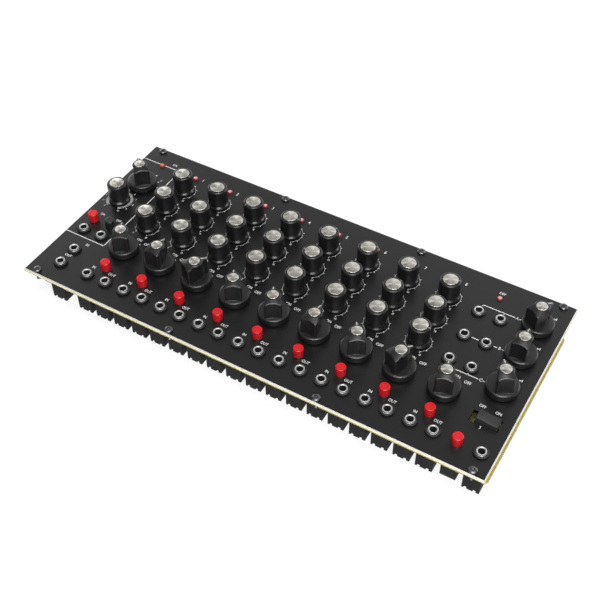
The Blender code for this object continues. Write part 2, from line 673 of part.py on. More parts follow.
def make_rocker_housing(material):
    """Makes the cradle on the board: a floor, two cheeks and the pin between them."""
    x, y = ROCKER_PLACE
    floor = BOARD_FRONT + SEAT_GAP
    rim = PANEL_BACK - SEAT_GAP
    inner = ROCKER_KEY_WIDTH / 2 + RUNNING_GAP
    outer = inner + CRADLE_WALL
    outline = (
        (-outer, floor),
        (outer, floor),
        (outer, rim),
        (inner, rim),
        (inner, floor + CRADLE_FLOOR),
        (-inner, floor + CRADLE_FLOOR),
        (-inner, rim),
        (-outer, rim),
    )
    shape = bmesh.new()
    start = x - CRADLE_LENGTH / 2
    add_prism(shape, [(start, y + across, z) for across, z in outline], (CRADLE_LENGTH, 0.0, 0.0))
    housing = add_object("rocker_housing", mesh_of("rocker_housing", shape, material))

    pin = bmesh.new()
    reach = inner + CRADLE_WALL / 2
    add_turned(pin, ((ROCKER_PIN_RADIUS, -reach), (ROCKER_PIN_RADIUS, reach)), FITTING_SIDES)
    turn = Matrix.Rotation(math.pi / 2, 4, "X")
    bmesh.ops.transform(pin, matrix=Matrix.Translation((x, y, ROCKER_PIVOT)) @ turn, verts=pin.verts)
    combine(housing, pin, "UNION")


def make_lamp(name, place, material):
    """Makes a lamp that stands on the board by itself."""
    shape = bmesh.new()
    add_lamp(shape, place, BOARD_FRONT + SEAT_GAP)
    add_object(name, mesh_of(name, shape, material))


def make_power_header(material):
    """Makes the pin header on the board's back, its pins drawn out of a block."""
    shape = bmesh.new()
    size = (HEADER_COLUMNS * HEADER_PITCH, HEADER_ROWS * HEADER_PITCH)
    x, y = HEADER_PLACE
    seat = BOARD_BACK - SEAT_GAP
    matrix = Matrix.Translation((x, y, seat)) @ Matrix.Diagonal((*size, 1.0, 1.0))
    bmesh.ops.create_grid(
        shape, x_segments=HEADER_COLUMNS, y_segments=HEADER_ROWS, size=0.5, matrix=matrix
    )
    block = bmesh.ops.extrude_face_region(shape, geom=shape.faces[:])["geom"]
    outer = [item for item in block if isinstance(item, bmesh.types.BMVert)]
    cells = [item for item in block if isinstance(item, bmesh.types.BMFace)]
    bmesh.ops.translate(shape, verts=outer, vec=(0.0, 0.0, -HEADER_BASE_HEIGHT))
    border = (HEADER_PITCH - HEADER_PIN_WIDTH) / 2
    bmesh.ops.inset_individual(shape, faces=cells, thickness=border, use_even_offset=True)
    pins = bmesh.ops.extrude_discrete_faces(shape, faces=cells)["faces"]
    tips = list({vert for face in pins for vert in face.verts})
    bmesh.ops.translate(shape, verts=tips, vec=(0.0, 0.0, -HEADER_PIN_LENGTH))
    add_object("power_header", mesh_of("power_header", shape, material))


def make_module():
    """Makes the whole module."""
    clear_scene()
    anodised = finish("black_anodised_aluminium", (0.035, 0.035, 0.037), 0.45, 0.6)
    laminate = finish("board_laminate", (0.28, 0.25, 0.12), 0.55)
    knob_plastic = finish("black_knob_plastic", (0.02, 0.02, 0.021), 0.35)
    red_plastic = finish("red_button_plastic", (0.72, 0.02, 0.03), 0.4)
    black_plastic = finish("black_button_plastic", (0.025, 0.025, 0.027), 0.4)
    key_plastic = finish("grey_rocker_plastic", (0.05, 0.05, 0.052), 0.5)
    housing_plastic = finish("black_housing_plastic", (0.03, 0.03, 0.03), 0.6)
    lens = finish("red_lamp_lens", (0.9, 0.12, 0.14), 0.2)

    make_panel(anodised)
    make_board(laminate)
    for name, place in SINGLE_JACKS.items():
        make_single_jack(name, place, housing_plastic)
    make_knobs(knob_plastic)
    make_buttons(red_plastic, black_plastic)
    make_rocker_key(key_plastic)
    make_rocker_housing(housing_plastic)
    make_lamp("oscillator_lamp", OSCILLATOR_LAMP_PLACE, lens)
    make_lamp("idle_lamp", IDLE_LAMP_PLACE, lens)
    make_power_header(housing_plastic)


make_module()
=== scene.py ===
"""The look of an analogue step sequencer module for a rack.

Finer pieces stand over the module's solids: a black panel with white print, knobs with spun caps, buttons,
sockets, lamps and a rocker, and the control board behind. The classes hold their sizes in millimetres, which
become metres as a mesh is finished. X runs across the panel to the right, Y up it and Z out of its face.
"""

import logging
import math
from collections.abc import Callable, Iterable, Sequence
from dataclasses import dataclass, field
from enum import Enum

import bmesh
import bpy
from mathutils import Matrix, Vector


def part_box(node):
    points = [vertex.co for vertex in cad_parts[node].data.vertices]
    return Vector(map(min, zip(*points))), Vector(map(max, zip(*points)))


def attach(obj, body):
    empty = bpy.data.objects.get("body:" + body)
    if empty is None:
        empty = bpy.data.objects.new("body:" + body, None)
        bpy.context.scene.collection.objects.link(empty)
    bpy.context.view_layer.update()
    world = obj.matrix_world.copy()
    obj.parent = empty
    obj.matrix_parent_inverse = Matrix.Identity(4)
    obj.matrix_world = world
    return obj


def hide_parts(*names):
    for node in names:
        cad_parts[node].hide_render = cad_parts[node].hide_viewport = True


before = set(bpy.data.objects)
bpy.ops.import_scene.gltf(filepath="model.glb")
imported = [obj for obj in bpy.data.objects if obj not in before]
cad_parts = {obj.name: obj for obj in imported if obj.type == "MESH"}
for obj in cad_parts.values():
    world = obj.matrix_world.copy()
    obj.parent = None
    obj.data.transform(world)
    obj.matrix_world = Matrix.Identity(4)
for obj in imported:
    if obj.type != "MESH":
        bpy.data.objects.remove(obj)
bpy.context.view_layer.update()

MM = 0.001
MERGE_WITHIN = 0.0001
TURNED_MAP = "turned"
CAPITAL_SHARE = 0.73
SHARP_ANGLE = math.radians(38)
BOARD_GAP = 10.0
SINGLE_JACKS = ("control_input_jack", "oscillator_output_jack", "shift_jack")
LOG = logging.getLogger("sequencer")

Place = tuple[float, float]
Point = tuple[float, float, float]
Colour = tuple[float, float, float, float]


class ButtonKind(Enum):
    """The two kinds of push-button, each with the record's slot for it."""

    RED = "red_button"
    BLACK = "black_button"


def linear(hex_colour: str, gain: float = 1.0) -> Colour:
    """Turns an sRGB hex colour into linear light.

    Args:
        hex_colour: the colour, such as #C8C3B9.
        gain: what its light is multiplied by.

    Returns:
        Red, green, blue and an alpha of 1.
    """
    channels = [int(hex_colour[start : start + 2], 16) / 255 for start in (1, 3, 5)]
    light = [c / 12.92 if c <= 0.04045 else ((c + 0.055) / 1.055) ** 2.4 for c in channels]
    red, green, blue = (min(1.0, gain * value) for value in light)
    return red, green, blue, 1.0


def add_node(
    tree: bpy.types.NodeTree, kind: str, sockets: dict[str | int, object] | None = None, **settings: object
) -> bpy.types.Node:
    """Adds a node with its settings and links.

    Args:
        tree: the tree that it joins.
        kind: the node's type.
        sockets: a value, or an output to link, by the name or number of each input.
        settings: the node's own settings.

    Returns:
        The node.
    """
    node = tree.nodes.new(kind)
    for name, value in settings.items():
        setattr(node, name, value)
    for key, value in (sockets or {}).items():
        if isinstance(value, bpy.types.NodeSocket):
            tree.links.new(value, node.inputs[key])
        else:
            node.inputs[key].default_value = value
    return node


def turned_radius(tree: bpy.types.NodeTree) -> bpy.types.NodeSocket:
    """Returns the output that gives the turned map's radius, in millimetres."""
    turned = add_node(tree, "ShaderNodeUVMap", uv_map=TURNED_MAP).outputs[0]
    return add_node(tree, "ShaderNodeSeparateXYZ", {0: turned}).outputs[1]


@dataclass(frozen=True)
class Finish:
    """A surface with a fine grain, which moves its colour, gloss and relief.

    Sizes are in millimetres. The spreads are shares of the colour and steps of roughness either way.
    """

    name: str
    colour: str
    roughness: float
    metallic: float = 0.0
    ior: float = 1.5
    grain: float = 0.25
    relief: float = 0.003
    colour_spread: float = 0.08
    gloss_spread: float = 0.04
    stretch: Point = (1.0, 1.0, 1.0)

    @property
    def tones(self) -> tuple[Colour, Colour]:
        """Returns the colour at its darkest and at its palest."""
        return linear(self.colour, 1 - self.colour_spread), linear(self.colour, 1 + self.colour_spread)

    def material(self) -> bpy.types.Material:
        """Makes the finish's material when it is first asked for.

        Returns:
            The material.
        """
        found = bpy.data.materials.get(self.name)
        if found:
            return found
        made = bpy.data.materials.new(self.name)
        made.use_nodes = True
        surface = made.node_tree.nodes["Principled BSDF"]
        surface.inputs["Metallic"].default_value = self.metallic
        if not self.metallic:
            surface.inputs["IOR"].default_value = self.ior
        self.dress(made.node_tree, surface)
        return made

    def dress(self, tree: bpy.types.NodeTree, surface: bpy.types.Node) -> None:
        """Gives the surface its pattern, here the grain alone.

        Args:
            tree: the material's tree.
            surface: its shader.
        """
        self.grained(tree, surface, *self.tones)

    def grained(self, tree: bpy.types.NodeTree, surface: bpy.types.Node, dark: object, pale: object) -> None:
        """Spreads the grain over colour, gloss and relief.

        Args:
            tree: the material's tree.
            surface: its shader.
            dark: the colour, or the output that gives it, in the grain's low places.
            pale: the colour, or the output that gives it, in the grain's high places.
        """
        where = add_node(tree, "ShaderNodeTexCoord").outputs["Object"]
        drawn = add_node(tree, "ShaderNodeMapping", {"Vector": where, "Scale": self.stretch}).outputs[0]
        fine = 1 / (self.grain * MM)
        grain = add_node(
            tree, "ShaderNodeTexNoise", {"Vector": drawn, "Scale": fine, "Detail": 3.0, "Roughness": 0.55}
        )
        self.spread(tree, surface, grain.outputs[0], dark, pale, self.relief)

    def spread(
        self,
        tree: bpy.types.NodeTree,
        surface: bpy.types.Node,
        pattern: bpy.types.NodeSocket,
        dark: object,
        pale: object,
        relief: float,
    ) -> None:
        """Lets a pattern drive colour, gloss and relief.

        Args:
            tree: the material's tree.
            surface: its shader.
            pattern: the output that draws the pattern.
            dark: the colour, or the output that gives it, in the pattern's low places.
            pale: the colour, or the output that gives it, in the pattern's high places.
            relief: how far the pattern stands up.
        """
        ends = {0: pattern, "From Min": 0.3, "From Max": 0.7}
        share = add_node(tree, "ShaderNodeMapRange", ends).outputs[0]
        tint = add_node(tree, "ShaderNodeMix", {0: share, 6: dark, 7: pale}, data_type="RGBA")
        smooth = max(0.02, self.roughness - self.gloss_spread)
        rough = min(1.0, self.roughness + self.gloss_spread)
        gloss = add_node(tree, "ShaderNodeMapRange", {0: share, "To Min": smooth, "To Max": rough})
        bump = add_node(
            tree, "ShaderNodeBump", {"Height": pattern, "Distance": relief * MM, "Strength": 1.0}
        )
        tree.links.new(tint.outputs[2], surface.inputs["Base Color"])
        tree.links.new(gloss.outputs[0], surface.inputs["Roughness"])
        tree.links.new(bump.outputs[0], surface.inputs["Normal"])


@dataclass(frozen=True)
class SpunMetal(Finish):
    """Metal turned on a lathe, with fine rings that draw the light out into a wedge."""

    ring_pitch: float = 0.16
    ring_relief: float = 0.0012
    anisotropy: float = 0.85

    def dress(self, tree: bpy.types.NodeTree, surface: bpy.types.Node) -> None:
        """Draws rings at the tool's pitch along the turned map's radius.

        Args:
            tree: the material's tree.
            surface: its shader.
        """
        sockets = {"W": turned_radius(tree), "Scale": 1 / self.ring_pitch, "Detail": 2.0}
        rings = add_node(tree, "ShaderNodeTexNoise", sockets, noise_dimensions="1D")
        self.spread(tree, surface, rings.outputs[0], *self.tones, self.ring_relief)
        tangent = add_node(tree, "ShaderNodeTangent", direction_type="UV_MAP", uv_map=TURNED_MAP)
        surface.inputs["Anisotropic"].default_value = self.anisotropy
        tree.links.new(tangent.outputs[0], surface.inputs["Tangent"])


@dataclass(frozen=True)
class Laminate(Finish):
    """Lacquered laminate, with copper tracks that show through the lacquer."""

    track_colour: str = "#8E8A48"
    track_pitch: float = 2.54
    track_width: float = 0.6

    def dress(self, tree: bpy.types.NodeTree, surface: bpy.types.Node) -> None:
        """Draws the tracks as the dark joints of a staggered grid.

        Args:
            tree: the material's tree.
            surface: its shader.
        """
        sockets = {
            "Vector": add_node(tree, "ShaderNodeTexCoord").outputs["Object"],
            "Color1": linear(self.colour),
            "Color2": linear(self.colour, 0.92),
            "Mortar": linear(self.track_colour),
            "Scale": 1.0,
            "Mortar Size": self.track_width * MM / 2,
            "Mortar Smooth": 0.1,
            "Brick Width": 7 * self.track_pitch * MM,
            "Row Height": 2 * self.track_pitch * MM,
        }
        grid = add_node(tree, "ShaderNodeTexBrick", sockets, offset=0.37).outputs[0]
        self.grained(tree, surface, grid, grid)


@dataclass(frozen=True)
class ShadedSideFinish(Finish):
    """A metal side with painted shade, which darkens its colour towards the back between two heights."""

    # The painted shade's colour, and the heights where it begins and where it is full
    shade_colour: str = "#7A7236"
    clear: float = 22.75
    shade_level: float = 22.1

    def dress(self, tree: bpy.types.NodeTree, surface: bpy.types.Node) -> None:
        """Runs the colour from its own to the painted shade's down the side, under the grain.

        Args:
            tree: the material's tree.
            surface: its shader.
        """
        where = add_node(tree, "ShaderNodeTexCoord").outputs["Object"]
        level = add_node(tree, "ShaderNodeSeparateXYZ", {0: where}).outputs[2]
        # Painted shade: the colour darkens from the first height to the second
        ends = {0: level, "From Min": self.clear * MM, "From Max": self.shade_level * MM}
        share = add_node(tree, "ShaderNodeMapRange", ends).outputs[0]
        pair = {0: share, 6: linear(self.colour), 7: linear(self.shade_colour)}
        side_tone = add_node(tree, "ShaderNodeMix", pair, data_type="RGBA").outputs[2]
        self.grained(tree, surface, side_tone, side_tone)


@dataclass(frozen=True)
class LitLens(Finish):
    """A lit lamp's lens: pale over the chip, red towards its rim."""

    rim_colour: str = "#5A1418"
    radius: float = 1.6
    strength: float = 0.85

    def dress(self, tree: bpy.types.NodeTree, surface: bpy.types.Node) -> None:
        """Fades the glow from the lens's middle to its rim along the turned map's radius.

        Args:
            tree: the material's tree.
            surface: its shader.
        """
        ends = {0: turned_radius(tree), "From Min": 0.5 * self.radius, "From Max": 0.85 * self.radius}
        share = add_node(tree, "ShaderNodeMapRange", ends, interpolation_type="SMOOTHSTEP").outputs[0]
        pair = {0: share, 6: linear(self.colour), 7: linear(self.rim_colour)}
        glow = add_node(tree, "ShaderNodeMix", pair, data_type="RGBA")
        surface.inputs["Base Color"].default_value = linear(self.rim_colour)
        surface.inputs["Roughness"].default_value = self.roughness
        surface.inputs["Emission Strength"].default_value = self.strength
        tree.links.new(glow.outputs[2], surface.inputs["Emission Color"])


# Blasted aluminium plate, anodised and dyed black: a fine sandy surface with a broad, soft gleam
PANEL_BLACK = Finish(
    "black_anodised_aluminium", "#0B0B0C", 0.36, grain=0.3, colour_spread=0.25, gloss_spread=0.05
)
# Sawn aluminium, chromated: a pale straw-coloured side, with painted shade that darkens it to olive towards
# the back
SAWN_EDGE = ShadedSideFinish(
    "chromated_aluminium",
    "#EAE6C8",
    0.6,
    metallic=0.4,
    grain=0.2,
    relief=0.002,
    colour_spread=0.06,
    stretch=(0.3, 0.3, 2.0),
)
# Milled aluminium, bare where the edge was broken after dyeing: pale and matt, with the cutter's marks
BARE_EDGE = Finish(
    "milled_aluminium",
    "#CFCBC6",
    0.6,
    metallic=0.5,
    grain=0.2,
    relief=0.001,
    colour_spread=0.05,
    stretch=(0.3, 0.3, 1.0),
)
# Screen-printed epoxy ink: a matt opaque white film
PRINT_WHITE = Finish("white_screen_ink", "#DADAD7", 0.55, grain=0.12, relief=0.002, colour_spread=0.05)
# ABS moulded against polished steel: near-black, with a gleam round a knob's foot
KNOB_SHINE = Finish("polished_black_abs", "#181717", 0.26, grain=0.35, relief=0.0005, colour_spread=0.05)
# Moulded ABS knobs: near-black with a satin skin
KNOB_BLACK = Finish("black_moulded_abs", "#181717", 0.34, grain=0.35, relief=0.0015, colour_spread=0.1)
# Spun aluminium inlay under clear lacquer: warm pale grey, with lathe rings drawn coarse enough to show
CAP_METAL = SpunMetal("spun_aluminium", "#CBC8C0", 0.32, metallic=1.0, colour_spread=0.1, gloss_spread=0.06)
# Pointer lines filled with enamel: once white, handled to a pale grey, a little glossy
MARK_WHITE = Finish("white_enamel", "#A6A6A3", 0.45, grain=0.2, colour_spread=0.03)
# The small knobs' marks, half rubbed away: the same enamel, greyed
MARK_GREY = Finish("worn_enamel", "#8E8E8C", 0.5, grain=0.2, colour_spread=0.12)
# Moulded polycarbonate buttons: saturated red and a soft gloss
BUTTON_RED = Finish("red_moulded_polycarbonate", "#B8121A", 0.3, grain=0.3, relief=0.001, colour_spread=0.05)
# The same moulding in black
BUTTON_BLACK = Finish(
    "black_moulded_polycarbonate", "#1A1A1C", 0.3, grain=0.3, relief=0.001, colour_spread=0.08
)
# Nickel-plated brass: pale grey with a soft gleam and a fine tooth
NICKEL = Finish(
    "nickel_plated_brass", "#C4C4C4", 0.52, metallic=1.0, grain=0.15, relief=0.0006, colour_spread=0.06
)
# Moulded nylon housings: black with a fine spark-eroded grain
HOUSING_BLACK = Finish(
    "black_moulded_nylon", "#060606", 0.85, grain=0.18, relief=0.005, colour_spread=0.12
)
# Black-nickelled brass nuts: dark grey, with a soft metal gleam
NUT_BLACK = Finish(
    "black_nickelled_brass", "#404040", 0.6, metallic=1.0, grain=0.2, relief=0.002, colour_spread=0.12
)
# Spring bronze inside the sockets, coloured near-black as painted shade for the inside of the hole, with a
# dull glint
SOCKET_SHADE = Finish("contact_bronze_painted_shade", "#1B1712", 0.5, metallic=1.0, grain=0.2)
# Glass-epoxy laminate under a clear varnish: tan and olive, with darker tracks
BOARD_LACQUER = Laminate("varnished_glass_epoxy", "#AFA45C", 0.4, grain=0.2, relief=0.002)
# The same laminate where it was cut: pale, fibrous, with the layers of glass showing along it
BOARD_EDGE = Finish(
    "cut_glass_epoxy", "#B8AA5E", 0.6, grain=0.12, relief=0.004, colour_spread=0.14, stretch=(0.2, 0.2, 2.5)
)
# Solder: pale grey and wet-looking
SOLDER = Finish("tin_solder", "#C4C6C8", 0.25, metallic=1.0, grain=0.3, relief=0.002)
# Gilded contact pins: warm yellow and bright
PIN_GOLD = Finish("gold_plated_pin", "#C9A24A", 0.25, metallic=1.0, grain=0.2, relief=0.0005)
# Pressed steel cans of the pots, zinc plated: blue-grey, with the zinc's faint mottling
CAN_STEEL = Finish(
    "zinc_plated_steel", "#9C9FA3", 0.35, metallic=1.0, grain=0.4, relief=0.001, colour_spread=0.1
)
# Black-zinc plated screws: dark metal with a soft gleam
SCREW_BLACK = Finish(
    "black_zinc_steel", "#68686A", 0.36, metallic=1.0, grain=0.2, relief=0.001, colour_spread=0.15
)
# Moulded rocker key: dark grey with a matt spark-eroded grain
ROCKER_GREY = Finish("grey_moulded_nylon", "#212121", 0.55, grain=0.15, relief=0.006, colour_spread=0.1)
# Lamp lens of tinted epoxy, lit from within: pale pink over the chip, deep red at its rim
LAMP_LIT = LitLens("lit_red_epoxy", "#E8B0B2", 0.35)
# The oscillator's lamp, dimmer and more orange
LAMP_DIM = LitLens("lit_orange_epoxy", "#D8745C", 0.35, rim_colour="#6A2412", strength=0.8)


def heading(angle: float) -> Place:
    """Returns the direction at an angle in degrees clockwise from upright."""
    return math.sin(math.radians(angle)), math.cos(math.radians(angle))


def lifted(base: float, points: Iterable[Place]) -> list[Place]:
    """Returns an outline's points with their heights counted from a base."""
    return [(radius, base + height) for radius, height in points]


def shaded(mesh: bpy.types.Mesh) -> bpy.types.Mesh:
    """Returns a mesh shaded smooth, except over its sharp edges."""
    mesh.shade_smooth()
    mesh.set_sharp_from_angle(angle=SHARP_ANGLE)
    return mesh


class Shape:
    """A mesh in the making, in millimetres, which knows the finish of each face."""

    def __init__(self, *finishes: Finish) -> None:
        """Starts with no faces, and with the finishes whose order matters."""
        self.body = bmesh.new()
        self.turned_map = self.body.loops.layers.uv.new(TURNED_MAP)
        self.finishes = list(finishes)

    def newer(self, known: set[bmesh.types.BMFace]) -> list[bmesh.types.BMFace]:
        """Returns the faces that aren't among the known ones."""
        return [face for face in self.body.faces if face not in known]

    def claim(self, known: set[bmesh.types.BMFace], finish: Finish) -> list[bmesh.types.BMFace]:
        """Gives a finish to the faces that are new.

        Args:
            known: the faces there were before.
            finish: the new faces' finish.

        Returns:
            The new faces.
        """
        if finish not in self.finishes:
            self.finishes.append(finish)
        fresh = self.newer(known)
        for face in fresh:
            face.material_index = self.finishes.index(finish)
        return fresh

    def weld(self, faces: Iterable[bmesh.types.BMFace]) -> None:
        """Merges the doubled corners of some faces."""
        corners = list({vert for face in faces for vert in face.verts})
        bmesh.ops.remove_doubles(self.body, verts=corners, dist=MERGE_WITHIN)

    def turned(
        self,
        profile: Sequence[Place],
        finish: Finish,
        sides: int,
        place: Place = (0.0, 0.0),
        ring: bool = False,
    ) -> None:
        """Adds a solid turned about an upright axis, with its turned map.

        Args:
            profile: the radius and height of each point along the outline.
            finish: its finish.
            sides: how many steps the full turn has.
            place: where the axis stands.
            ring: whether the outline is closed, as on a washer.
        """
        known = set(self.body.faces)
        points = [self.body.verts.new((place[0] + radius, place[1], z)) for radius, z in profile]
        pairs = list(zip(points, points[1:]))
        if ring:
            pairs.append((points[-1], points[0]))
        edges = [self.body.edges.new(pair) for pair in pairs]
        bmesh.ops.spin(
            self.body,
            geom=points + edges,
            cent=(*place, 0.0),
            axis=(0.0, 0.0, 1.0),
            angle=math.tau,
            steps=sides,
            use_merge=True,
        )
        self.weld(self.newer(known))
        rims = list({edge for face in self.newer(known) for edge in face.edges if edge.is_boundary})
        if rims:
            bmesh.ops.holes_fill(self.body, edges=rims, sides=sides)
        for face in self.claim(known, finish):
            middle = face.calc_center_median()
            facing = math.atan2(middle.y - place[1], middle.x - place[0])
            for loop in face.loops:
                across, up = loop.vert.co.x - place[0], loop.vert.co.y - place[1]
                radius = math.hypot(across, up)
                angle = facing
                if radius > 0.001:
                    angle += math.remainder(math.atan2(up, across) - facing, math.tau)
                loop[self.turned_map].uv = (angle / math.tau, radius)

    def block(
        self, low: Point, high: Point, finish: Finish, rounding: float = 0.0, segments: int = 2
    ) -> None:
        """Adds a block between two opposite corners.

        Args:
            low: its lowest corner.
            high: its highest corner.
            finish: its finish.
            rounding: the width of its rounded edges.
            segments: how many steps each of them has.
        """
        known = set(self.body.faces)
        size = [top - bottom for bottom, top in zip(low, high)]
        middle = [(top + bottom) / 2 for bottom, top in zip(low, high)]
        matrix = Matrix.Translation(middle) @ Matrix.Diagonal((*size, 1.0))
        corners = bmesh.ops.create_cube(self.body, size=1.0, matrix=matrix)["verts"]
        if rounding:
            self.soften(list({edge for vert in corners for edge in vert.link_edges}), rounding, segments)
        self.claim(known, finish)

    def soften(self, edges: list[bmesh.types.BMEdge], width: float, segments: int = 2) -> None:
        """Rounds edges.

        Args:
            edges: the edges.
            width: over what width.
            segments: in how many steps.
        """
        bmesh.ops.bevel(
            self.body,
            geom=edges,
            offset=width,
            offset_type="OFFSET",
            segments=segments,
            profile=0.5,
            affect="EDGES",
            material=-1,
            clamp_overlap=True,
        )

    def drawn_up(
        self, rings: Sequence[Callable[[float], Place]], finish: Finish, sides: int = 180
    ) -> None:
        """Adds a solid whose outline is drawn up from ring to ring.

        Args:
            rings: from the foot up, each gives a corner's radius and height from its angle in degrees
                clockwise from upright.
            finish: its finish.
            sides: how many corners a ring has.
        """
        known = set(self.body.faces)
        corners = bmesh.ops.create_circle(self.body, cap_ends=True, segments=sides, radius=1.0)["verts"]
        top = corners[0].link_faces[0]
        for number, ring in enumerate(rings):
            if number:
                raised = bmesh.ops.extrude_face_region(self.body, geom=[top])["geom"]
                top = next(item for item in raised if isinstance(item, bmesh.types.BMFace))
            for corner in top.verts:
                radius, height = ring(math.degrees(math.atan2(corner.co.x, corner.co.y)))
                corner.co = (*(corner.co.xy.normalized() * radius), height)
        self.claim(known, finish)

    def hull(self, points: Sequence[Point], finish: Finish) -> None:
        """Adds the solid stretched over some points.

        Args:
            points: its corners.
            finish: its finish.
        """
        known = set(self.body.faces)
        corners = [self.body.verts.new(point) for point in points]
        bmesh.ops.convex_hull(self.body, input=corners)
        edges = list({edge for face in self.newer(known) for edge in face.edges})
        bmesh.ops.dissolve_limit(self.body, angle_limit=math.radians(1), verts=corners, edges=edges)
        self.claim(known, finish)

    def take_in(self, mesh: bpy.types.Mesh) -> None:
        """Adds a finished mesh, whose materials are the shape's own in the same order."""
        mesh.transform(Matrix.Scale(1 / MM, 4))
        self.body.from_mesh(mesh)

    def finished(self) -> bpy.types.Mesh:
        """Ends the making.

        Returns:
            The mesh in metres, with its faces pointing out and its materials on it.
        """
        bmesh.ops.recalc_face_normals(self.body, faces=self.body.faces)
        bmesh.ops.scale(self.body, vec=(MM, MM, MM), verts=self.body.verts)
        mesh = bpy.data.meshes.new("shape")
        self.body.to_mesh(mesh)
        self.body.free()
        for finish in self.finishes:
            mesh.materials.append(finish.material())
        return shaded(mesh)

    def cut_by(self, tool: "Shape") -> bpy.types.Mesh:
        """Ends the making with a cut.

        Args:
            tool: the shape that is cut out, whose finishes line the cut.

        Returns:
            The cut mesh in metres.
        """
        body, knife = (bpy.data.objects.new("cut", shape.finished()) for shape in (self, tool))
        for piece in (body, knife):
            bpy.context.scene.collection.objects.link(piece)
        modifier = body.modifiers.new("cut", "BOOLEAN")
        modifier.operation = "DIFFERENCE"
        modifier.solver = "EXACT"
        modifier.material_mode = "TRANSFER"
        modifier.object = knife
        graph = bpy.context.evaluated_depsgraph_get()
        result = bpy.data.meshes.new_from_object(
            body.evaluated_get(graph), preserve_all_data_layers=True, depsgraph=graph
        )
        for piece in (body, knife):
            bpy.data.objects.remove(piece)
        return shaded(result)


def put_piece(name: str, mesh: bpy.types.Mesh, body: str, slot: str, *nodes: str) -> None:
    """Adds a finished piece to the module.

    Args:
        name: the piece's name.
        mesh: its mesh, in place.
        body: the body that it rides on.
        slot: not used.
        nodes: the solids that it stands for.
    """
    mesh.name = name
    piece = bpy.data.objects.new(name, mesh)
    bpy.context.scene.collection.objects.link(piece)
    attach(piece, body)
    if nodes:
        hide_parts(*nodes)
    LOG.info("%s: %d faces", name, len(mesh.polygons))


def put_copy(
    mesh: bpy.types.Mesh, place: Place, name: str, body: str, slot: str, *nodes: str, turn: float = 0.0
) -> None:
    """Adds a piece that is a copy of a mesh, stood at a place.

    Args:
        mesh: the mesh, about its own axis.
        place: where its axis stands, in millimetres.
        name: the piece's name.
        body: the body that it rides on.
        slot: the record's slot, handed on to put_piece.
        nodes: the solids that it stands for.
        turn: how far it is turned anticlockwise, in radians.
    """
    copy = mesh.copy()
    copy.transform(Matrix.Translation((place[0] * MM, place[1] * MM, 0.0)) @ Matrix.Rotation(turn, 4, "Z"))
    put_piece(name, copy, body, slot, *nodes)


@dataclass(frozen=True)
class Layout:
    """Where the controls stand, in millimetres from the panel's lower left corner."""

    left: float
    lower: float
    width: float
    height: float
    back: float
    face: float
    first_column: float = 40.8
    spacing: float = 25.4
    columns: int = 8
    jack_row: float = 14.3
    mode_row: float = 40.4
    lamp_row: float = 113.85
    output_jack_rows: tuple[float, float, float] = (99.2, 79.8, 60.8)
    oscillator_jacks: tuple[Place, Place] = ((9.05, 43.3), (21.75, 43.3))
    rail_screws: tuple[float, ...] = (7.5, 98.9, 190.4, 276.7)
    rail_inset: float = 3.0

    @property
    def beside(self) -> float:
        """Returns how far the sockets of a pair stand from their column's middle."""
        return self.spacing / 4

    def at(self, across: float, up: float) -> Place:
        """Returns a place of the panel in the module's own frame."""
        return self.left + across, self.lower + up

    def column(self, number: int) -> float:
        """Returns how far across a column stands, counted from 0."""
        return self.first_column + number * self.spacing

    def centre(self, node: str) -> Place:
        """Returns the middle of a solid, in the module's own frame."""
        low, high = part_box(node)
        return (low.x + high.x) / 2 / MM, (low.y + high.y) / 2 / MM

    def board_jacks(self) -> list[Place]:
        """Finds the sockets that the board carries.

        Returns:
            Their places in the module's own frame.
        """
        pairs = [(number, self.jack_row) for number in range(self.columns + 1)]
        pairs += [(self.columns, row) for row in self.output_jack_rows]
        spots = [(self.column(number) + side * self.beside, row) for number, row in pairs for side in (-1, 1)]
        return [self.at(*spot) for spot in [*spots, *self.oscillator_jacks]]

    def knob_nodes(self) -> list[str]:
        """Returns the names of the turning knobs' solids."""
        return sorted(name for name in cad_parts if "_knob" in name)

    def button_nodes(self) -> list[str]:
        """Returns the names of the buttons' solids."""
        return sorted(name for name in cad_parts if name.endswith("button") or "set_button" in name)

    def lamp_places(self) -> list[Place]:
        """Returns the places of all the lamps, in the module's own frame, the oscillator's last."""
        row = [self.at(self.column(number), self.lamp_row) for number in range(self.columns + 1)]
        return [*row, self.centre("oscillator_lamp")]

    def screw_places(self) -> list[Place]:
        """Returns the places of the rail screws, in the module's own frame."""
        rows = (self.rail_inset, self.height - self.rail_inset)
        return [self.at(across, up) for across in self.rail_screws for up in rows]


def read_layout() -> Layout:
    """Returns the layout on the panel's solid."""
    low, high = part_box("front_panel")
    width, height = (high.x - low.x) / MM, (high.y - low.y) / MM
    return Layout(low.x / MM, low.y / MM, width, height, back=low.z / MM, face=high.z / MM)


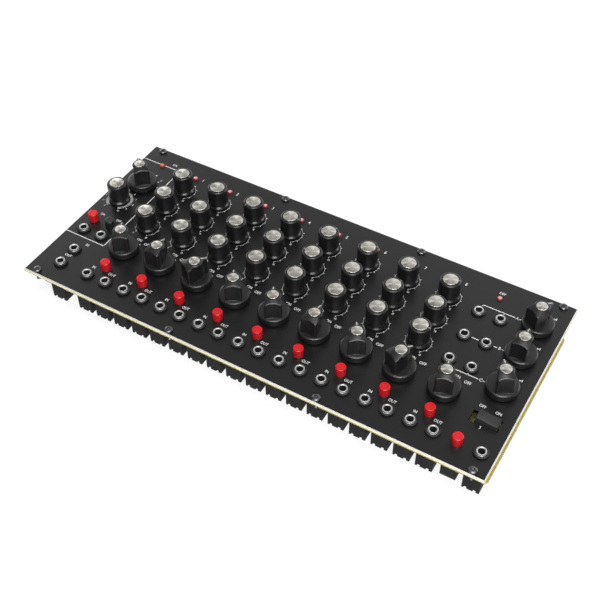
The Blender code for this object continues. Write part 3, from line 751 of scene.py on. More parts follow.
@dataclass
class PanelPlate:
    """The panel: a plate with a bare broken edge, pierced for what it holds."""

    layout: Layout
    edge: float = 0.6
    jack_hole: float = 3.2
    shaft_hole: float = 3.4
    button_hole: float = 3.05
    lamp_hole: float = 1.75
    screw_hole: float = 1.7
    rocker_length: float = 15.8
    rocker_width: float = 7.4
    rocker_shift: float = -0.3
    overrun: float = 1.0

    def build(self) -> None:
        """Makes the plate and pierces it."""
        layout = self.layout
        plate = Shape(PANEL_BLACK, BARE_EDGE, SAWN_EDGE)
        low = (layout.left, layout.lower, layout.back)
        high = (layout.left + layout.width, layout.lower + layout.height, layout.face)
        plate.block(low, high, PANEL_BLACK)
        level = layout.face - 0.01
        top = [edge for edge in plate.body.edges if all(vert.co.z > level for vert in edge.verts)]
        plate.soften(top, self.edge, 1)
        for face in plate.body.faces:
            face.normal_update()
            if abs(face.normal.z) < 0.9:
                face.material_index = 1 if face.normal.z > 0.1 else 2
        put_piece("panel_plate", plate.cut_by(self.holes()), "chassis", "panel", "front_panel")

    def holes(self) -> Shape:
        """Makes the tools of all the holes.

        Returns:
            The tools as one shape.
        """
        layout = self.layout
        holes = Shape()
        under, over = layout.back - self.overrun, layout.face + self.overrun
        for places, radius, sides in (
            (layout.board_jacks() + [layout.centre(name) for name in SINGLE_JACKS], self.jack_hole, 36),
            ([layout.centre(name) for name in layout.knob_nodes()], self.shaft_hole, 20),
            ([layout.centre(name) for name in layout.button_nodes()], self.button_hole, 40),
            (layout.lamp_places(), self.lamp_hole, 24),
            (layout.screw_places(), self.screw_hole, 20),
        ):
            for place in places:
                holes.turned(((radius, under), (radius, over)), PANEL_BLACK, sides, place)
        x, y = layout.centre("rocker_housing")
        x += self.rocker_shift
        across, up = self.rocker_length / 2, self.rocker_width / 2
        holes.block((x - across, y - up, under), (x + across, y + up, over), PANEL_BLACK)
        return holes


@dataclass
class PanelPrint:
    """The white print on the panel: dials, lines, boxes and plain numbers.

    Angles are in degrees clockwise from upright.
    """

    layout: Layout
    ink: Shape = field(default_factory=Shape)
    sunk: float = 0.01
    proud: float = 0.02
    line: float = 0.42
    fine: float = 0.24
    faint: float = 0.11
    dial_end: int = 150
    dial_step: int = 30
    dial_inner: float = 7.2
    dial_outer: float = 8.0
    dial_numbers: float = 9.4
    arc_steps: int = 30
    vernier_step: int = 6
    vernier_inner: float = 6.6
    vernier_outer: tuple[float, float] = (8.2, 8.6)
    vernier_numbers: float = 9.9
    switch_inner: float = 9.3
    switch_outer: float = 10.1
    switch_angles: tuple[int, ...] = (-30, 0, 30)
    last_mode_angles: tuple[int, ...] = (-15, 15)
    range_numbers: float = 11.7
    output_rows: tuple[float, float, float] = (104.5, 80.3, 55.5)
    runs: tuple[tuple[Place, ...], ...] = (
        ((237.8, 103.6), (237.8, 105.2), (256.4, 105.2)),
        ((250.4, 103.6), (250.4, 105.2)),
        ((259.3, 105.2), (261.0, 105.2)),
        ((242.1, 80.3), (245.9, 80.3)),
        ((254.8, 80.3), (256.4, 80.3)),
        ((259.4, 80.3), (261.0, 80.3)),
        ((237.8, 56.5), (237.8, 55.8), (256.2, 55.8)),
        ((250.4, 56.5), (250.4, 55.8)),
        ((259.1, 55.8), (260.8, 55.8)),
        ((0.9, 114.8), (12.8, 114.8)),
        ((17.4, 114.8), (28.2, 114.8), (28.2, 37.4), (0.9, 37.4)),
    )

    @property
    def low(self) -> float:
        """Returns the height of the print's underside, which is sunk in the panel."""
        return self.layout.face - self.sunk

    @property
    def top(self) -> float:
        """Returns the height of the print's top."""
        return self.layout.face + self.proud

    def build(self) -> None:
        """Prints everything as one piece."""
        for name in self.layout.knob_nodes():
            if "step" in name:
                self.dial(self.layout.centre(name))
        self.vernier_dial(self.layout.centre("vernier_knob"))
        self.switch_dials()
        for corners in self.runs:
            self.run(corners)
        for text, across, up, height in self.labels():
            self.words(text, self.layout.at(across, up), height)
        self.ink.claim(set(), PRINT_WHITE)
        put_piece("panel_print", self.ink.finished(), "chassis", "panel")

    def strip(self, start: Place, end: Place, width: float) -> None:
        """Prints a straight line.

        Args:
            start: the middle of one end, in the module's own frame.
            end: the middle of the other.
            width: how wide it is.
        """
        run = Vector(end) - Vector(start)
        middle = (Vector(start) + Vector(end)) / 2
        matrix = (
            Matrix.Translation((middle.x, middle.y, (self.low + self.top) / 2))
            @ Matrix.Rotation(math.atan2(run.y, run.x), 4, "Z")
            @ Matrix.Diagonal((run.length, width, self.top - self.low, 1.0))
        )
        bmesh.ops.create_cube(self.ink.body, size=1.0, matrix=matrix)

    def spoke(self, place: Place, angle: float, inner: float, outer: float, width: float) -> None:
        """Prints a mark that points at a place.

        Args:
            place: the place.
            angle: where it stands round it.
            inner: how far away it starts.
            outer: how far away it ends.
            width: how wide it is.
        """
        outward = Vector(heading(angle))
        self.strip(tuple(Vector(place) + outward * inner), tuple(Vector(place) + outward * outer), width)

    def arc(self, place: Place) -> None:
        """Prints the faint arc of a dial, from its first mark to its last.

        Args:
            place: the dial's middle.
        """
        body = self.ink.body
        outward = Vector(heading(-self.dial_end))
        section = []
        for side, level in ((-0.5, self.low), (0.5, self.low), (0.5, self.top), (-0.5, self.top)):
            at = Vector(place) + outward * (self.dial_inner + side * self.faint)
            section.append(body.verts.new((at.x, at.y, level)))
        face = body.faces.new(section)
        bmesh.ops.spin(
            body,
            geom=[*section, *face.edges, face],
            cent=(*place, 0.0),
            axis=(0.0, 0.0, -1.0),
            angle=math.radians(2 * self.dial_end),
            steps=self.arc_steps,
            use_merge=False,
        )

    def words(self, text: str, place: Place, height: float, narrow: float = 0.8) -> None:
        """Prints characters, centred on a place.

        Args:
            text: the characters.
            place: their middle, in the module's own frame.
            height: how tall a capital is.
            narrow: how wide they are, as a share of the face's own width.
        """
        known = set(self.ink.body.faces)
        thickness = self.sunk + self.proud
        drawn = bpy.data.curves.new("words", "FONT")
        drawn.body = text
        drawn.size = height / CAPITAL_SHARE
        drawn.align_x = "CENTER"
        drawn.align_y = "CENTER"
        drawn.resolution_u = 2
        drawn.extrude = thickness / 2
        holder = bpy.data.objects.new("words", drawn)
        mesh = bpy.data.meshes.new_from_object(holder)
        middle = Matrix.Translation((*place, self.low + thickness / 2))
        mesh.transform(middle @ Matrix.Diagonal((narrow, 1.0, 1.0, 1.0)))
        self.ink.body.from_mesh(mesh)
        bpy.data.objects.remove(holder)
        bpy.data.curves.remove(drawn)
        bpy.data.meshes.remove(mesh)
        self.ink.weld(self.ink.newer(known))

    def number(self, place: Place, text: str, angle: float, radius: float, height: float = 1.5) -> None:
        """Prints a dial's number.

        Args:
            place: the dial's middle.
            text: the number.
            angle: where it stands on the dial.
            radius: how far from the middle it stands.
            height: how tall it is.
        """
        across, up = heading(angle)
        self.words(text, (place[0] + radius * across, place[1] + radius * up), height, 0.7)

    def dial(self, place: Place) -> None:
        """Prints eleven marks on an arc round a knob, and the numbers at its ends.

        Args:
            place: the knob's axis.
        """
        for angle in range(-self.dial_end, self.dial_end + 1, self.dial_step):
            self.spoke(place, angle, self.dial_inner, self.dial_outer, self.fine)
        self.arc(place)
        self.number(place, "0", -self.dial_end - 1, self.dial_numbers)
        self.number(place, "10", self.dial_end + 1, self.dial_numbers)

    def vernier_dial(self, place: Place) -> None:
        """Prints the vernier's close scale, with a number at each long mark.

        Args:
            place: the knob's axis.
        """
        short, long = self.vernier_outer
        for angle in range(-self.dial_end, self.dial_end + 1, self.vernier_step):
            outer = short if angle % self.dial_step else long
            self.spoke(place, angle, self.vernier_inner, outer, self.fine)
        for number, angle in enumerate(range(-self.dial_end, self.dial_end + 1, self.dial_step)):
            self.number(place, str(number), angle, self.vernier_numbers, 1.4)

    def switch_marks(self, place: Place, angles: Iterable[int]) -> None:
        """Prints the marks of a switch's positions."""
        for angle in angles:
            self.spoke(place, angle, self.switch_inner, self.switch_outer, self.line)

    def switch_dials(self) -> None:
        """Prints the marks round the skirted knobs."""
        layout = self.layout
        for number in range(layout.columns + 1):
            angles = self.last_mode_angles if number == layout.columns else self.switch_angles
            self.switch_marks(layout.at(layout.column(number), layout.mode_row), angles)
        for letter in "abc":
            self.switch_marks(layout.centre(f"output_range_knob_{letter}"), self.switch_angles)
        place = layout.centre("frequency_range_knob")
        for number, angle in enumerate(range(-75, 76, 30), 1):
            self.switch_marks(place, (angle,))
            self.number(place, str(number), angle - 4, self.range_numbers, 1.7)

    def run(self, corners: Sequence[Place]) -> None:
        """Prints a line through corners.

        Args:
            corners: the corners in the panel's millimetres.
        """
        for start, end in zip(corners, corners[1:]):
            along = (Vector(end) - Vector(start)).normalized() * self.line / 2
            first, last = Vector(start) - along, Vector(end) + along
            self.strip(self.layout.at(*first), self.layout.at(*last), self.line)

    def labels(self) -> list[tuple[str, float, float, float]]:
        """Lists the labels.

        Returns:
            Each label's characters, place in the panel's millimetres and height.
        """
        layout = self.layout
        found: list[tuple[str, float, float, float]] = []
        for number in range(layout.columns + 1):
            across = layout.column(number)
            found += [
                ("IN", across - layout.beside - 0.2, layout.jack_row + 6.5, 1.95),
                ("OUT", across + layout.beside - 0.3, layout.jack_row + 6.5, 1.95),
                ("ON", across + 2.4, layout.mode_row + 11.6, 2.0),
                ("OFF", across + 8.7, layout.mode_row + 10.3, 2.1),
            ]
            if number < layout.columns:
                found.append((str(number + 1), across + 4.9, layout.lamp_row + 0.95, 2.4))
        found += [
            ("OFF", 243.9, 118.2, 1.95),
            ("OFF", 265.4, 40.8, 1.95),
            ("ON", 274.2, 40.4, 1.95),
            ("3", 269.5, 27.9, 2.0),
            ("ON", 22.1, 118.2, 2.0),
            ("ON", 10.7, 59.1, 1.8),
            ("OFF", 22.6, 59.0, 1.8),
            ("IN", 19.6, 33.2, 1.95),
            ("OUT", 15.3, 21.0, 1.95),
            ("A", 257.9, 105.1, 2.2),
            ("B", 257.9, 80.3, 2.2),
            ("C", 257.8, 55.8, 2.2),
        ]
        return found + [("x4", 275.9, row + 10.3, 1.95) for row in self.output_rows]


@dataclass
class Knob:
    """What both kinds of turning knob share: where they seat and the shaft below."""

    face: float
    shaft: float = 2.9
    shaft_depth: float = 8.1
    lift: float = 0.5

    def started(self) -> Shape:
        """Starts a knob with its shaft.

        Returns:
            The shape.
        """
        knob = Shape()
        ends = ((self.shaft, -self.shaft_depth), (self.shaft, self.lift + 0.3))
        knob.turned(lifted(self.face, ends), NICKEL, 24)
        return knob


@dataclass
class StepKnob(Knob):
    """The small round knob: a foot, a groove, a straight body and a spun cap with a mark beside it."""

    foot: float = 6.2
    flare_foot: float = 1.37
    flare_top: float = 2.15
    groove: float = 5.2
    radius: float = 6.0
    height: float = 13.9
    cap: float = 4.2

    def mesh(self) -> bpy.types.Mesh:
        """Makes the knob.

        Returns:
            Its mesh about its own axis, its mark upright.
        """
        z, top = self.face, self.face + self.height
        foot, groove, radius, cap = self.foot, self.groove, self.radius, self.cap
        knob = self.started()
        body = lifted(
            z,
            (
                *((0.0, self.lift), (foot - 0.2, self.lift), (foot, self.lift + 0.12), (foot, 1.2)),
                *((foot - 0.04, 1.3), (foot - 0.1, self.flare_foot), (groove + 0.12, self.flare_top)),
                *((groove + 0.03, 2.28), (groove, 2.42), (groove, 2.8), (groove + 0.05, 2.95)),
                *((radius - 0.22, 3.08), (radius - 0.06, 3.17), (radius, 3.34)),
            ),
        )
        body += lifted(
            top,
            (
                *((radius, -1.5), (radius - 0.03, -1.2), (radius - 0.12, -0.88), (radius - 0.28, -0.62)),
                *((radius - 0.5, -0.43), (radius - 0.75, -0.32), (radius - 1.05, -0.27)),
                *((cap + 0.2, -0.2), (cap + 0.1, -0.24), (cap + 0.08, -0.5), (0.0, -0.5)),
            ),
        )
        knob.turned(body, KNOB_BLACK, 64)
        low, high = z + self.flare_foot, z + self.flare_top
        satin = {face for face in knob.body.faces if not low < face.calc_center_median().z < high}
        knob.claim(satin, KNOB_SHINE)
        inlay = ((cap, -0.52), (cap, -0.1), (cap - 0.06, -0.03), (cap - 0.2, 0.0), (0.0, 0.0))
        knob.turned(lifted(top, inlay), CAP_METAL, 64)
        inner, outer, half = cap + 0.35, radius - 0.04, 0.28
        side_on = ((inner, -0.21), (outer - 0.72, -0.3), (outer - 0.2, -0.64), (outer, -1.2), (inner, -1.2))
        mark = [(side * half, *spot) for side in (-1, 1) for spot in lifted(top, side_on)]
        knob.hull(mark, MARK_GREY)
        return knob.finished()


@dataclass
class PointerKnob(Knob):
    """The skirted knob: a three-cornered grip with a nib, a pale line along it and a spun cap."""

    skirt: float = 8.85
    seat: float = 5.0
    height: float = 17.1
    cap: float = 3.1
    rim: float = 3.75
    head: float = 4.5
    slope: float = 0.364
    line: float = 0.3
    corners: tuple[Place, ...] = (
        *((0, 7.45), (5, 7.4), (7, 7.0), (10, 6.2), (14, 5.4), (20, 4.8), (30, 4.35), (45, 3.95)),
        *((60, 3.7), (80, 3.65), (100, 3.9), (115, 4.4), (125, 5.05), (132, 6.0), (137, 6.95)),
        *((140, 7.45), (143, 7.75), (146, 7.82), (149, 7.66), (153, 7.2), (160, 6.6), (168, 6.2), (180, 6.0)),
    )

    def outline(self, turn: float) -> float:
        """Finds the grip's radius, straight from corner to corner.

        Args:
            turn: the angle in degrees from its nib.

        Returns:
            The radius.
        """
        turn = abs(turn)
        for (start, first), (end, last) in zip(self.corners, self.corners[1:]):
            if turn <= end:
                share = (turn - start) / (end - start)
                return first + (last - first) * share
        return self.corners[-1][1]

    def crest(self, radius: float) -> float:
        """Returns how high the sloping head is at a radius."""
        return self.height - 0.3 - self.slope * max(0.0, radius - self.rim)

    def ring(
        self, level: float, inset: float = 0.0, flare: float = 0.0, drop: float = 0.0
    ) -> Callable[[float], Place]:
        """Draws a ring of the grip's wall.

        Args:
            level: how high over the panel it lies.
            inset: how far it lies inside the outline.
            flare: how much of the way its hollow sides have come out to the head, from 0 to 1.
            drop: how far below the head it stays at least.

        Returns:
            What gives a corner's radius and height from its angle.
        """

        def corner(turn: float) -> Place:
            """Returns a corner's radius and height."""
            radius = self.outline(turn)
            radius += (max(radius, self.head) - radius) * flare - inset
            return radius, self.face + min(level, self.crest(radius) - drop)

        return corner

    def crown(self, share: float) -> Callable[[float], Place]:
        """Draws a ring of the sloping head.

        Args:
            share: its share of the way from the cap's rim to the wall.

        Returns:
            What gives a corner's radius and height from its angle.
        """

        def corner(turn: float) -> Place:
            """Returns a corner's radius and height."""
            wall = max(self.outline(turn), self.head) - 0.62
            radius = self.rim + (wall - self.rim) * share
            return radius, self.face + self.crest(radius)

        return corner

    def mesh(self) -> bpy.types.Mesh:
        """Makes the knob.

        Returns:
            Its mesh about its own axis, its nib upright.
        """
        top = self.face + self.height
        skirt, seat, cap, height = self.skirt, self.seat, self.cap, self.height
        knob = self.started()
        disc = (
            *((0.0, self.lift), (skirt - 0.6, self.lift), (skirt - 0.45, self.lift + 0.06)),
            *((skirt - 0.06, 1.15), (skirt, 1.4), (skirt, seat - 0.9), (skirt - 0.07, seat - 0.6)),
            *((skirt - 0.28, seat - 0.34), (skirt - 0.65, seat - 0.15), (skirt - 1.15, seat - 0.04)),
            *((skirt - 1.7, seat), (0.0, seat + 0.05)),
        )
        knob.turned(lifted(self.face, disc), KNOB_BLACK, 96)
        wall = (
            *((seat - 0.3, -0.3), (seat + 0.06, -0.26), (seat + 0.14, -0.12), (seat + 0.3, -0.03)),
            *((seat + 0.6,), (8.0,), (11.0,), (13.0,), (14.2, 0.0, 0.12, 1.0), (15.0, 0.0, 0.4, 0.8)),
            *((15.6, 0.0, 0.8, 0.6), (16.2, 0.0, 1.0, 0.36), (height, 0.08, 1.0, 0.3)),
            *((height, 0.22, 1.0, 0.13), (height, 0.42, 1.0, 0.04)),
        )
        rings = [self.ring(*sizes) for sizes in wall] + [self.crown(share) for share in (1.0, 0.5, 0.0)]
        rings += [lambda turn: (cap + 0.14, top - 0.36), lambda turn: (cap + 0.1, top - 0.8)]
        knob.drawn_up(rings, KNOB_BLACK)
        inlay = ((cap, -0.82), (cap, -0.1), (cap - 0.06, -0.03), (cap - 0.18, 0.0), (0.0, 0.0))
        knob.turned(lifted(top, inlay), CAP_METAL, 64)
        start, end = self.rim + 0.15, self.corners[0][1]
        fall = self.slope * (end - 0.35 - start)
        side_on = (
            *((start, -0.3), (start, -0.9), (end - 0.35, -0.32 - fall), (end - 0.05, -0.62 - fall)),
            *((end + 0.02, -2.4 - fall), (end - 0.5, -2.4 - fall)),
        )
        line = [(side * self.line, *spot) for side in (-1, 1) for spot in lifted(top, side_on)]
        knob.hull(line, MARK_WHITE)
        return knob.finished()


@dataclass
class Knobs:
    """All the turning knobs, each with its pointer where the photograph has it."""

    layout: Layout
    step_angles: tuple[tuple[float, ...], ...] = (
        (90, -150, -150, 90, 30, 60, 5, 70),
        (110, -150, -130, -120, -90, -30, 30, 0),
        (90, 20, 50, 0, -30, 0, 20, 90),
    )
    mode_angles: tuple[float, ...] = (-30, 0, 30, -30, -30, 0, -30, 30, -15)
    output_angles: tuple[float, float, float] = (30, 0, -30)
    frequency_angle: float = -45
    vernier_angle: float = 0

    def build(self) -> None:
        """Puts a knob on every shaft."""
        small = StepKnob(self.layout.face).mesh()
        skirted = PointerKnob(self.layout.face).mesh()
        for row, angles in enumerate(self.step_angles, 1):
            for column, angle in enumerate(angles, 1):
                self.put(small, f"step_knob_r{row}_c{column}", angle)
        self.put(small, "vernier_knob", self.vernier_angle)
        for number, angle in enumerate(self.mode_angles, 1):
            self.put(skirted, f"mode_knob_{number}", angle)
        for letter, angle in zip("abc", self.output_angles):
            self.put(skirted, f"output_range_knob_{letter}", angle)
        self.put(skirted, "frequency_range_knob", self.frequency_angle)

    def put(self, mesh: bpy.types.Mesh, node: str, angle: float) -> None:
        """Puts a copy of a knob where its solid is, turned clockwise by an angle in degrees."""
        place, turn = self.layout.centre(node), -math.radians(angle)
        put_copy(mesh, place, f"{node}_dressed", node, "knob", node, turn=turn)


@dataclass
class PushButtons:
    """The round push-buttons on their stems."""

    layout: Layout
    radius: float = 2.87
    rise: float = 5.3
    tail: float = 1.5
    stem: float = 1.4
    stem_length: float = 5.0
    rounding: float = 0.5

    def mesh(self, finish: Finish) -> bpy.types.Mesh:
        """Makes a button.

        Args:
            finish: its finish.

        Returns:
            Its mesh about its own axis.
        """
        top, under = self.layout.face + self.rise, self.layout.back - self.tail
        profile = lifted(
            under,
            (
                *((0.0, -self.stem_length), (self.stem, -self.stem_length), (self.stem, 0.0)),
                *((self.radius - 0.1, 0.0), (self.radius, 0.1)),
            ),
        )
        for turn in (0, 22.5, 45, 67.5, 90):
            up, out = heading(turn)
            profile.append((self.radius - self.rounding * (1 - out), top - self.rounding * (1 - up)))
        profile += [(self.radius - self.rounding - 0.7, top - 0.03), (0.0, top - 0.06)]
        button = Shape()
        button.turned(profile, finish, 40)
        return button.finished()

    def build(self) -> None:
        """Puts a button on every switch."""
        meshes = {ButtonKind.RED: self.mesh(BUTTON_RED), ButtonKind.BLACK: self.mesh(BUTTON_BLACK)}
        for node in self.layout.button_nodes():
            kind = ButtonKind.BLACK if node == "oscillator_off_button" else ButtonKind.RED
            put_copy(meshes[kind], self.layout.centre(node), f"{node}_dressed", node, kind.value, node)


@dataclass
class JackSocket:
    """A socket: a notched housing behind, a bright bush through the panel and a black nut round it."""

    layout: Layout
    width: float = 9.6
    length: float = 11.3
    below: float = 0.6
    lug: float = 1.6
    lug_edges: tuple[float, ...] = (0.124, 0.289, 0.639, 0.814)
    nut: float = 4.08
    nut_rise: float = 1.3
    bush: float = 2.95
    lip: float = 2.65
    rise: float = 2.0
    bore: float = 1.8
    depth: float = 11.0

    def mesh(self) -> bpy.types.Mesh:
        """Makes a socket.

        Returns:
            Its mesh about its own axis.
        """
        z, back = self.layout.face, self.layout.back
        housing = Shape()
        low = (-self.width / 2, -self.below * self.length, 0.0)
        high = (self.width / 2, (1 - self.below) * self.length, back - 0.3)
        housing.block(low, high, HOUSING_BLACK, 0.25)
        gaps = Shape()
        for start, end in zip(self.lug_edges[0::2], self.lug_edges[1::2]):
            left, right = low[0] + start * self.width, low[0] + end * self.width
            gaps.block((left, low[1] - 1, -1.0), (right, high[1] + 1, self.lug), HOUSING_BLACK)
        # The housing's bore is lined with the near-black bronze: painted shade deep in the hole
        gaps.turned(((self.bore, back - self.depth + 2), (self.bore, back + 1)), SOCKET_SHADE, 32)
        jack = Shape(HOUSING_BLACK, SOCKET_SHADE)
        jack.take_in(housing.cut_by(gaps))
        bore, bush, lip, nut = self.bore, self.bush, self.lip, self.nut
        rise, nut_rise = self.rise, self.nut_rise
        barrel = (
            *((bush, nut_rise - 0.4), (lip, nut_rise - 0.1), (lip, rise - 0.09), (lip - 0.03, rise - 0.03)),
            *((lip - 0.09, rise), (bore + 0.36, rise), (bore + 0.28, rise - 0.04)),
            *((bore + 0.04, rise - 0.28), (bore, rise - 0.36)),
        )
        jack.turned([(bore, back - 0.6), (bush, back - 0.6), *lifted(z, barrel)], NICKEL, 40, ring=True)
        # A black sleeve inside the bore, under the lip: painted shade that keeps the hole dark
        bore_shade_sleeve = [(bore - 0.12, back - 0.8), (bore + 0.02, back - 0.8)]
        bore_shade_sleeve += lifted(z, ((bore + 0.02, rise - 0.37), (bore - 0.12, rise - 0.45)))
        jack.turned(bore_shade_sleeve, HOUSING_BLACK, 32, ring=True)
        round_nut = (
            *((bush + 0.02, 0.02), (nut - 0.1, 0.02), (nut, 0.15), (nut, nut_rise - 0.4)),
            *((nut - 0.1, nut_rise - 0.15), (nut - 0.35, nut_rise), (bush + 0.1, nut_rise)),
            (bush + 0.02, nut_rise - 0.08),
        )
        jack.turned(lifted(z, round_nut), NUT_BLACK, 48, ring=True)
        return jack.finished()

    def build(self) -> None:
        """Puts a socket in every place."""
        mesh = self.mesh()
        for number, place in enumerate(self.layout.board_jacks(), 1):
            put_copy(mesh, place, f"board_jack_{number}", "chassis", "housing")
        for node in SINGLE_JACKS:
            low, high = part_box(node)
            place = ((low.x + high.x) / 2 / MM, low.y / MM + self.below * self.length)
            put_copy(mesh, place, f"{node}_dressed", "chassis", "housing", node)


@dataclass
class Lamps:
    """The lamps, each a domed lens on two legs."""

    layout: Layout
    board: float
    radius: float = 1.6
    rise: float = 1.3
    dome: float = 0.6
    stand: float = 3.0
    collar: float = 0.2
    leg: float = 0.25

    def mesh(self, glow: Finish) -> bpy.types.Mesh:
        """Makes a lamp.

        Args:
            glow: its lens's finish.

        Returns:
            Its mesh about its own axis.
        """
        top = self.layout.face + self.rise
        foot, wide = self.board + self.stand, self.radius + self.collar
        profile = [(0.0, foot), (wide, foot), (wide, foot + 0.8), (self.radius, foot + 0.8)]
        for turn in (0, 18, 36, 54, 72, 90):
            up, out = heading(turn)
            profile.append((self.radius * out, top - self.dome + self.dome * up))
        lamp = Shape()
        lamp.turned(profile, glow, 28)
        for side in (-1, 1):
            ends = ((self.leg, self.board - 0.1), (self.leg, foot + 0.1))
            lamp.turned(ends, SOLDER, 10, (side * 0.7, 0.0))
        return lamp.finished()

    def build(self) -> None:
        """Puts a lamp in every hole, the idle lamp after the steps' and the oscillator's last."""
        bright, dim = self.mesh(LAMP_LIT), self.mesh(LAMP_DIM)
        steps = self.layout.columns
        for number, place in enumerate(self.layout.lamp_places(), 1):
            if number <= steps:
                put_copy(bright, place, f"step_lamp_{number}", "chassis", "lens")
                continue
            mesh, node = (bright, "idle_lamp") if number == steps + 1 else (dim, "oscillator_lamp")
            put_copy(mesh, place, f"{node}_dressed", "chassis", "lens", node)


@dataclass
class RailScrews:
    """The screws along the panel's two long edges, with domed heads and six-sided recesses."""

    layout: Layout
    head: float = 2.45
    head_rise: float = 1.4
    key: float = 0.95
    shank: float = 1.45
    root: float = 1.15
    length: float = 6.6
    pitch: float = 0.6

    def mesh(self) -> bpy.types.Mesh:
        """Makes a screw.

        Returns:
            Its mesh about its own axis.
        """
        z, head, rise = self.layout.face, self.head, self.head_rise
        profile: list[Place] = [(0.0, z - self.length), (self.root, z - self.length + 0.1)]
        level = z - self.length + 0.3
        while level < z - 0.3:
            profile += [(self.shank, level), (self.root, level + self.pitch / 2)]
            level += self.pitch
        crown = (
            *((self.shank, 0.02), (head - 0.1, 0.02), (head, 0.15), (head, rise * 0.45)),
            *((head * 0.93, rise * 0.68), (head * 0.78, rise * 0.86), (head * 0.5, rise * 0.97), (0.0, rise)),
        )
        screw = Shape()
        screw.turned(profile + lifted(z, crown), SCREW_BLACK, 32)
        recess = Shape()
        socket = lifted(z, ((0.0, 0.3), (self.key, 0.6), (self.key, rise + 0.2)))
        recess.turned(socket, SCREW_BLACK, 6)
        return screw.cut_by(recess)

    def build(self) -> None:
        """Puts a screw in every rail hole, each turned as it was left."""
        mesh = self.mesh()
        for number, place in enumerate(self.layout.screw_places(), 1):
            turn = math.radians(37 * number)
            put_copy(mesh, place, f"rail_screw_{number}", "chassis", "panel", turn=turn)


@dataclass
class Rocker:
    """The rocker's key, dished along its top, and its cradle on the board."""

    layout: Layout
    length: float = 11.7
    width: float = 6.2
    rise: float = 3.5
    dish: float = 0.5
    depth: float = 4.5
    foot_share: float = 0.55
    pivot_depth: float = 4.5
    pin: float = 0.8
    clearance: float = 0.3
    tilt: float = 6.0
    rounding: float = 0.35

    def outline(self) -> list[Place]:
        """Draws the key's side about its pin.

        Returns:
            Its corners.
        """
        half, notch, waist = self.length / 2, self.pin + self.clearance, self.pivot_depth
        top = self.layout.face - self.layout.back + self.rise + waist
        foot = waist - self.depth - self.pin
        corners: list[Place] = [(half * self.foot_share, foot), (half, waist)]
        for turn in range(0, 181, 15):
            up, out = heading(turn)
            corners.append((half * out, top - self.dish * up))
        corners += [(-half, waist), (-half * self.foot_share, foot), (-notch, foot)]
        for turn in range(0, 181, 20):
            up, out = heading(turn)
            corners.append((-notch * out, notch * up))
        return [*corners, (notch, foot)]

    def build(self) -> None:
        """Makes the key about its pin, tilts it to rest and gives its cradle a finish."""
        half, shoulder = self.length / 2, self.pivot_depth + 0.5
        key = Shape()
        face = key.body.faces.new(
            [key.body.verts.new((x, -self.width / 2, z)) for x, z in self.outline()]
        )
        pushed = bmesh.ops.extrude_face_region(key.body, geom=[face])["geom"]
        far = [item for item in pushed if isinstance(item, bmesh.types.BMVert)]
        bmesh.ops.translate(key.body, verts=far, vec=(0.0, self.width, 0.0))
        key.claim(set(), ROCKER_GREY)
        brim = [
            edge
            for edge in key.body.edges
            if all(vert.co.z > shoulder for vert in edge.verts)
            and (
                any(abs(vert.co.x) >= half - 0.01 for vert in edge.verts)
                or abs(edge.verts[0].co.y - edge.verts[1].co.y) < 0.01
            )
        ]
        key.soften(brim, self.rounding)
        mesh = key.finished()
        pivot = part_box("rocker_housing")[1].z / MM + self.clearance - self.pivot_depth
        x, y = self.layout.centre("rocker_housing")
        place = Matrix.Translation((x * MM, y * MM, pivot * MM))
        mesh.transform(place @ Matrix.Rotation(math.radians(self.tilt), 4, "Y"))
        put_piece("rocker_key_dressed", mesh, "rocker_key", "rocker", "rocker_key")
        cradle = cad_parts["rocker_housing"]
        cradle.data.materials.clear()
        cradle.data.materials.append(HOUSING_BLACK.material())


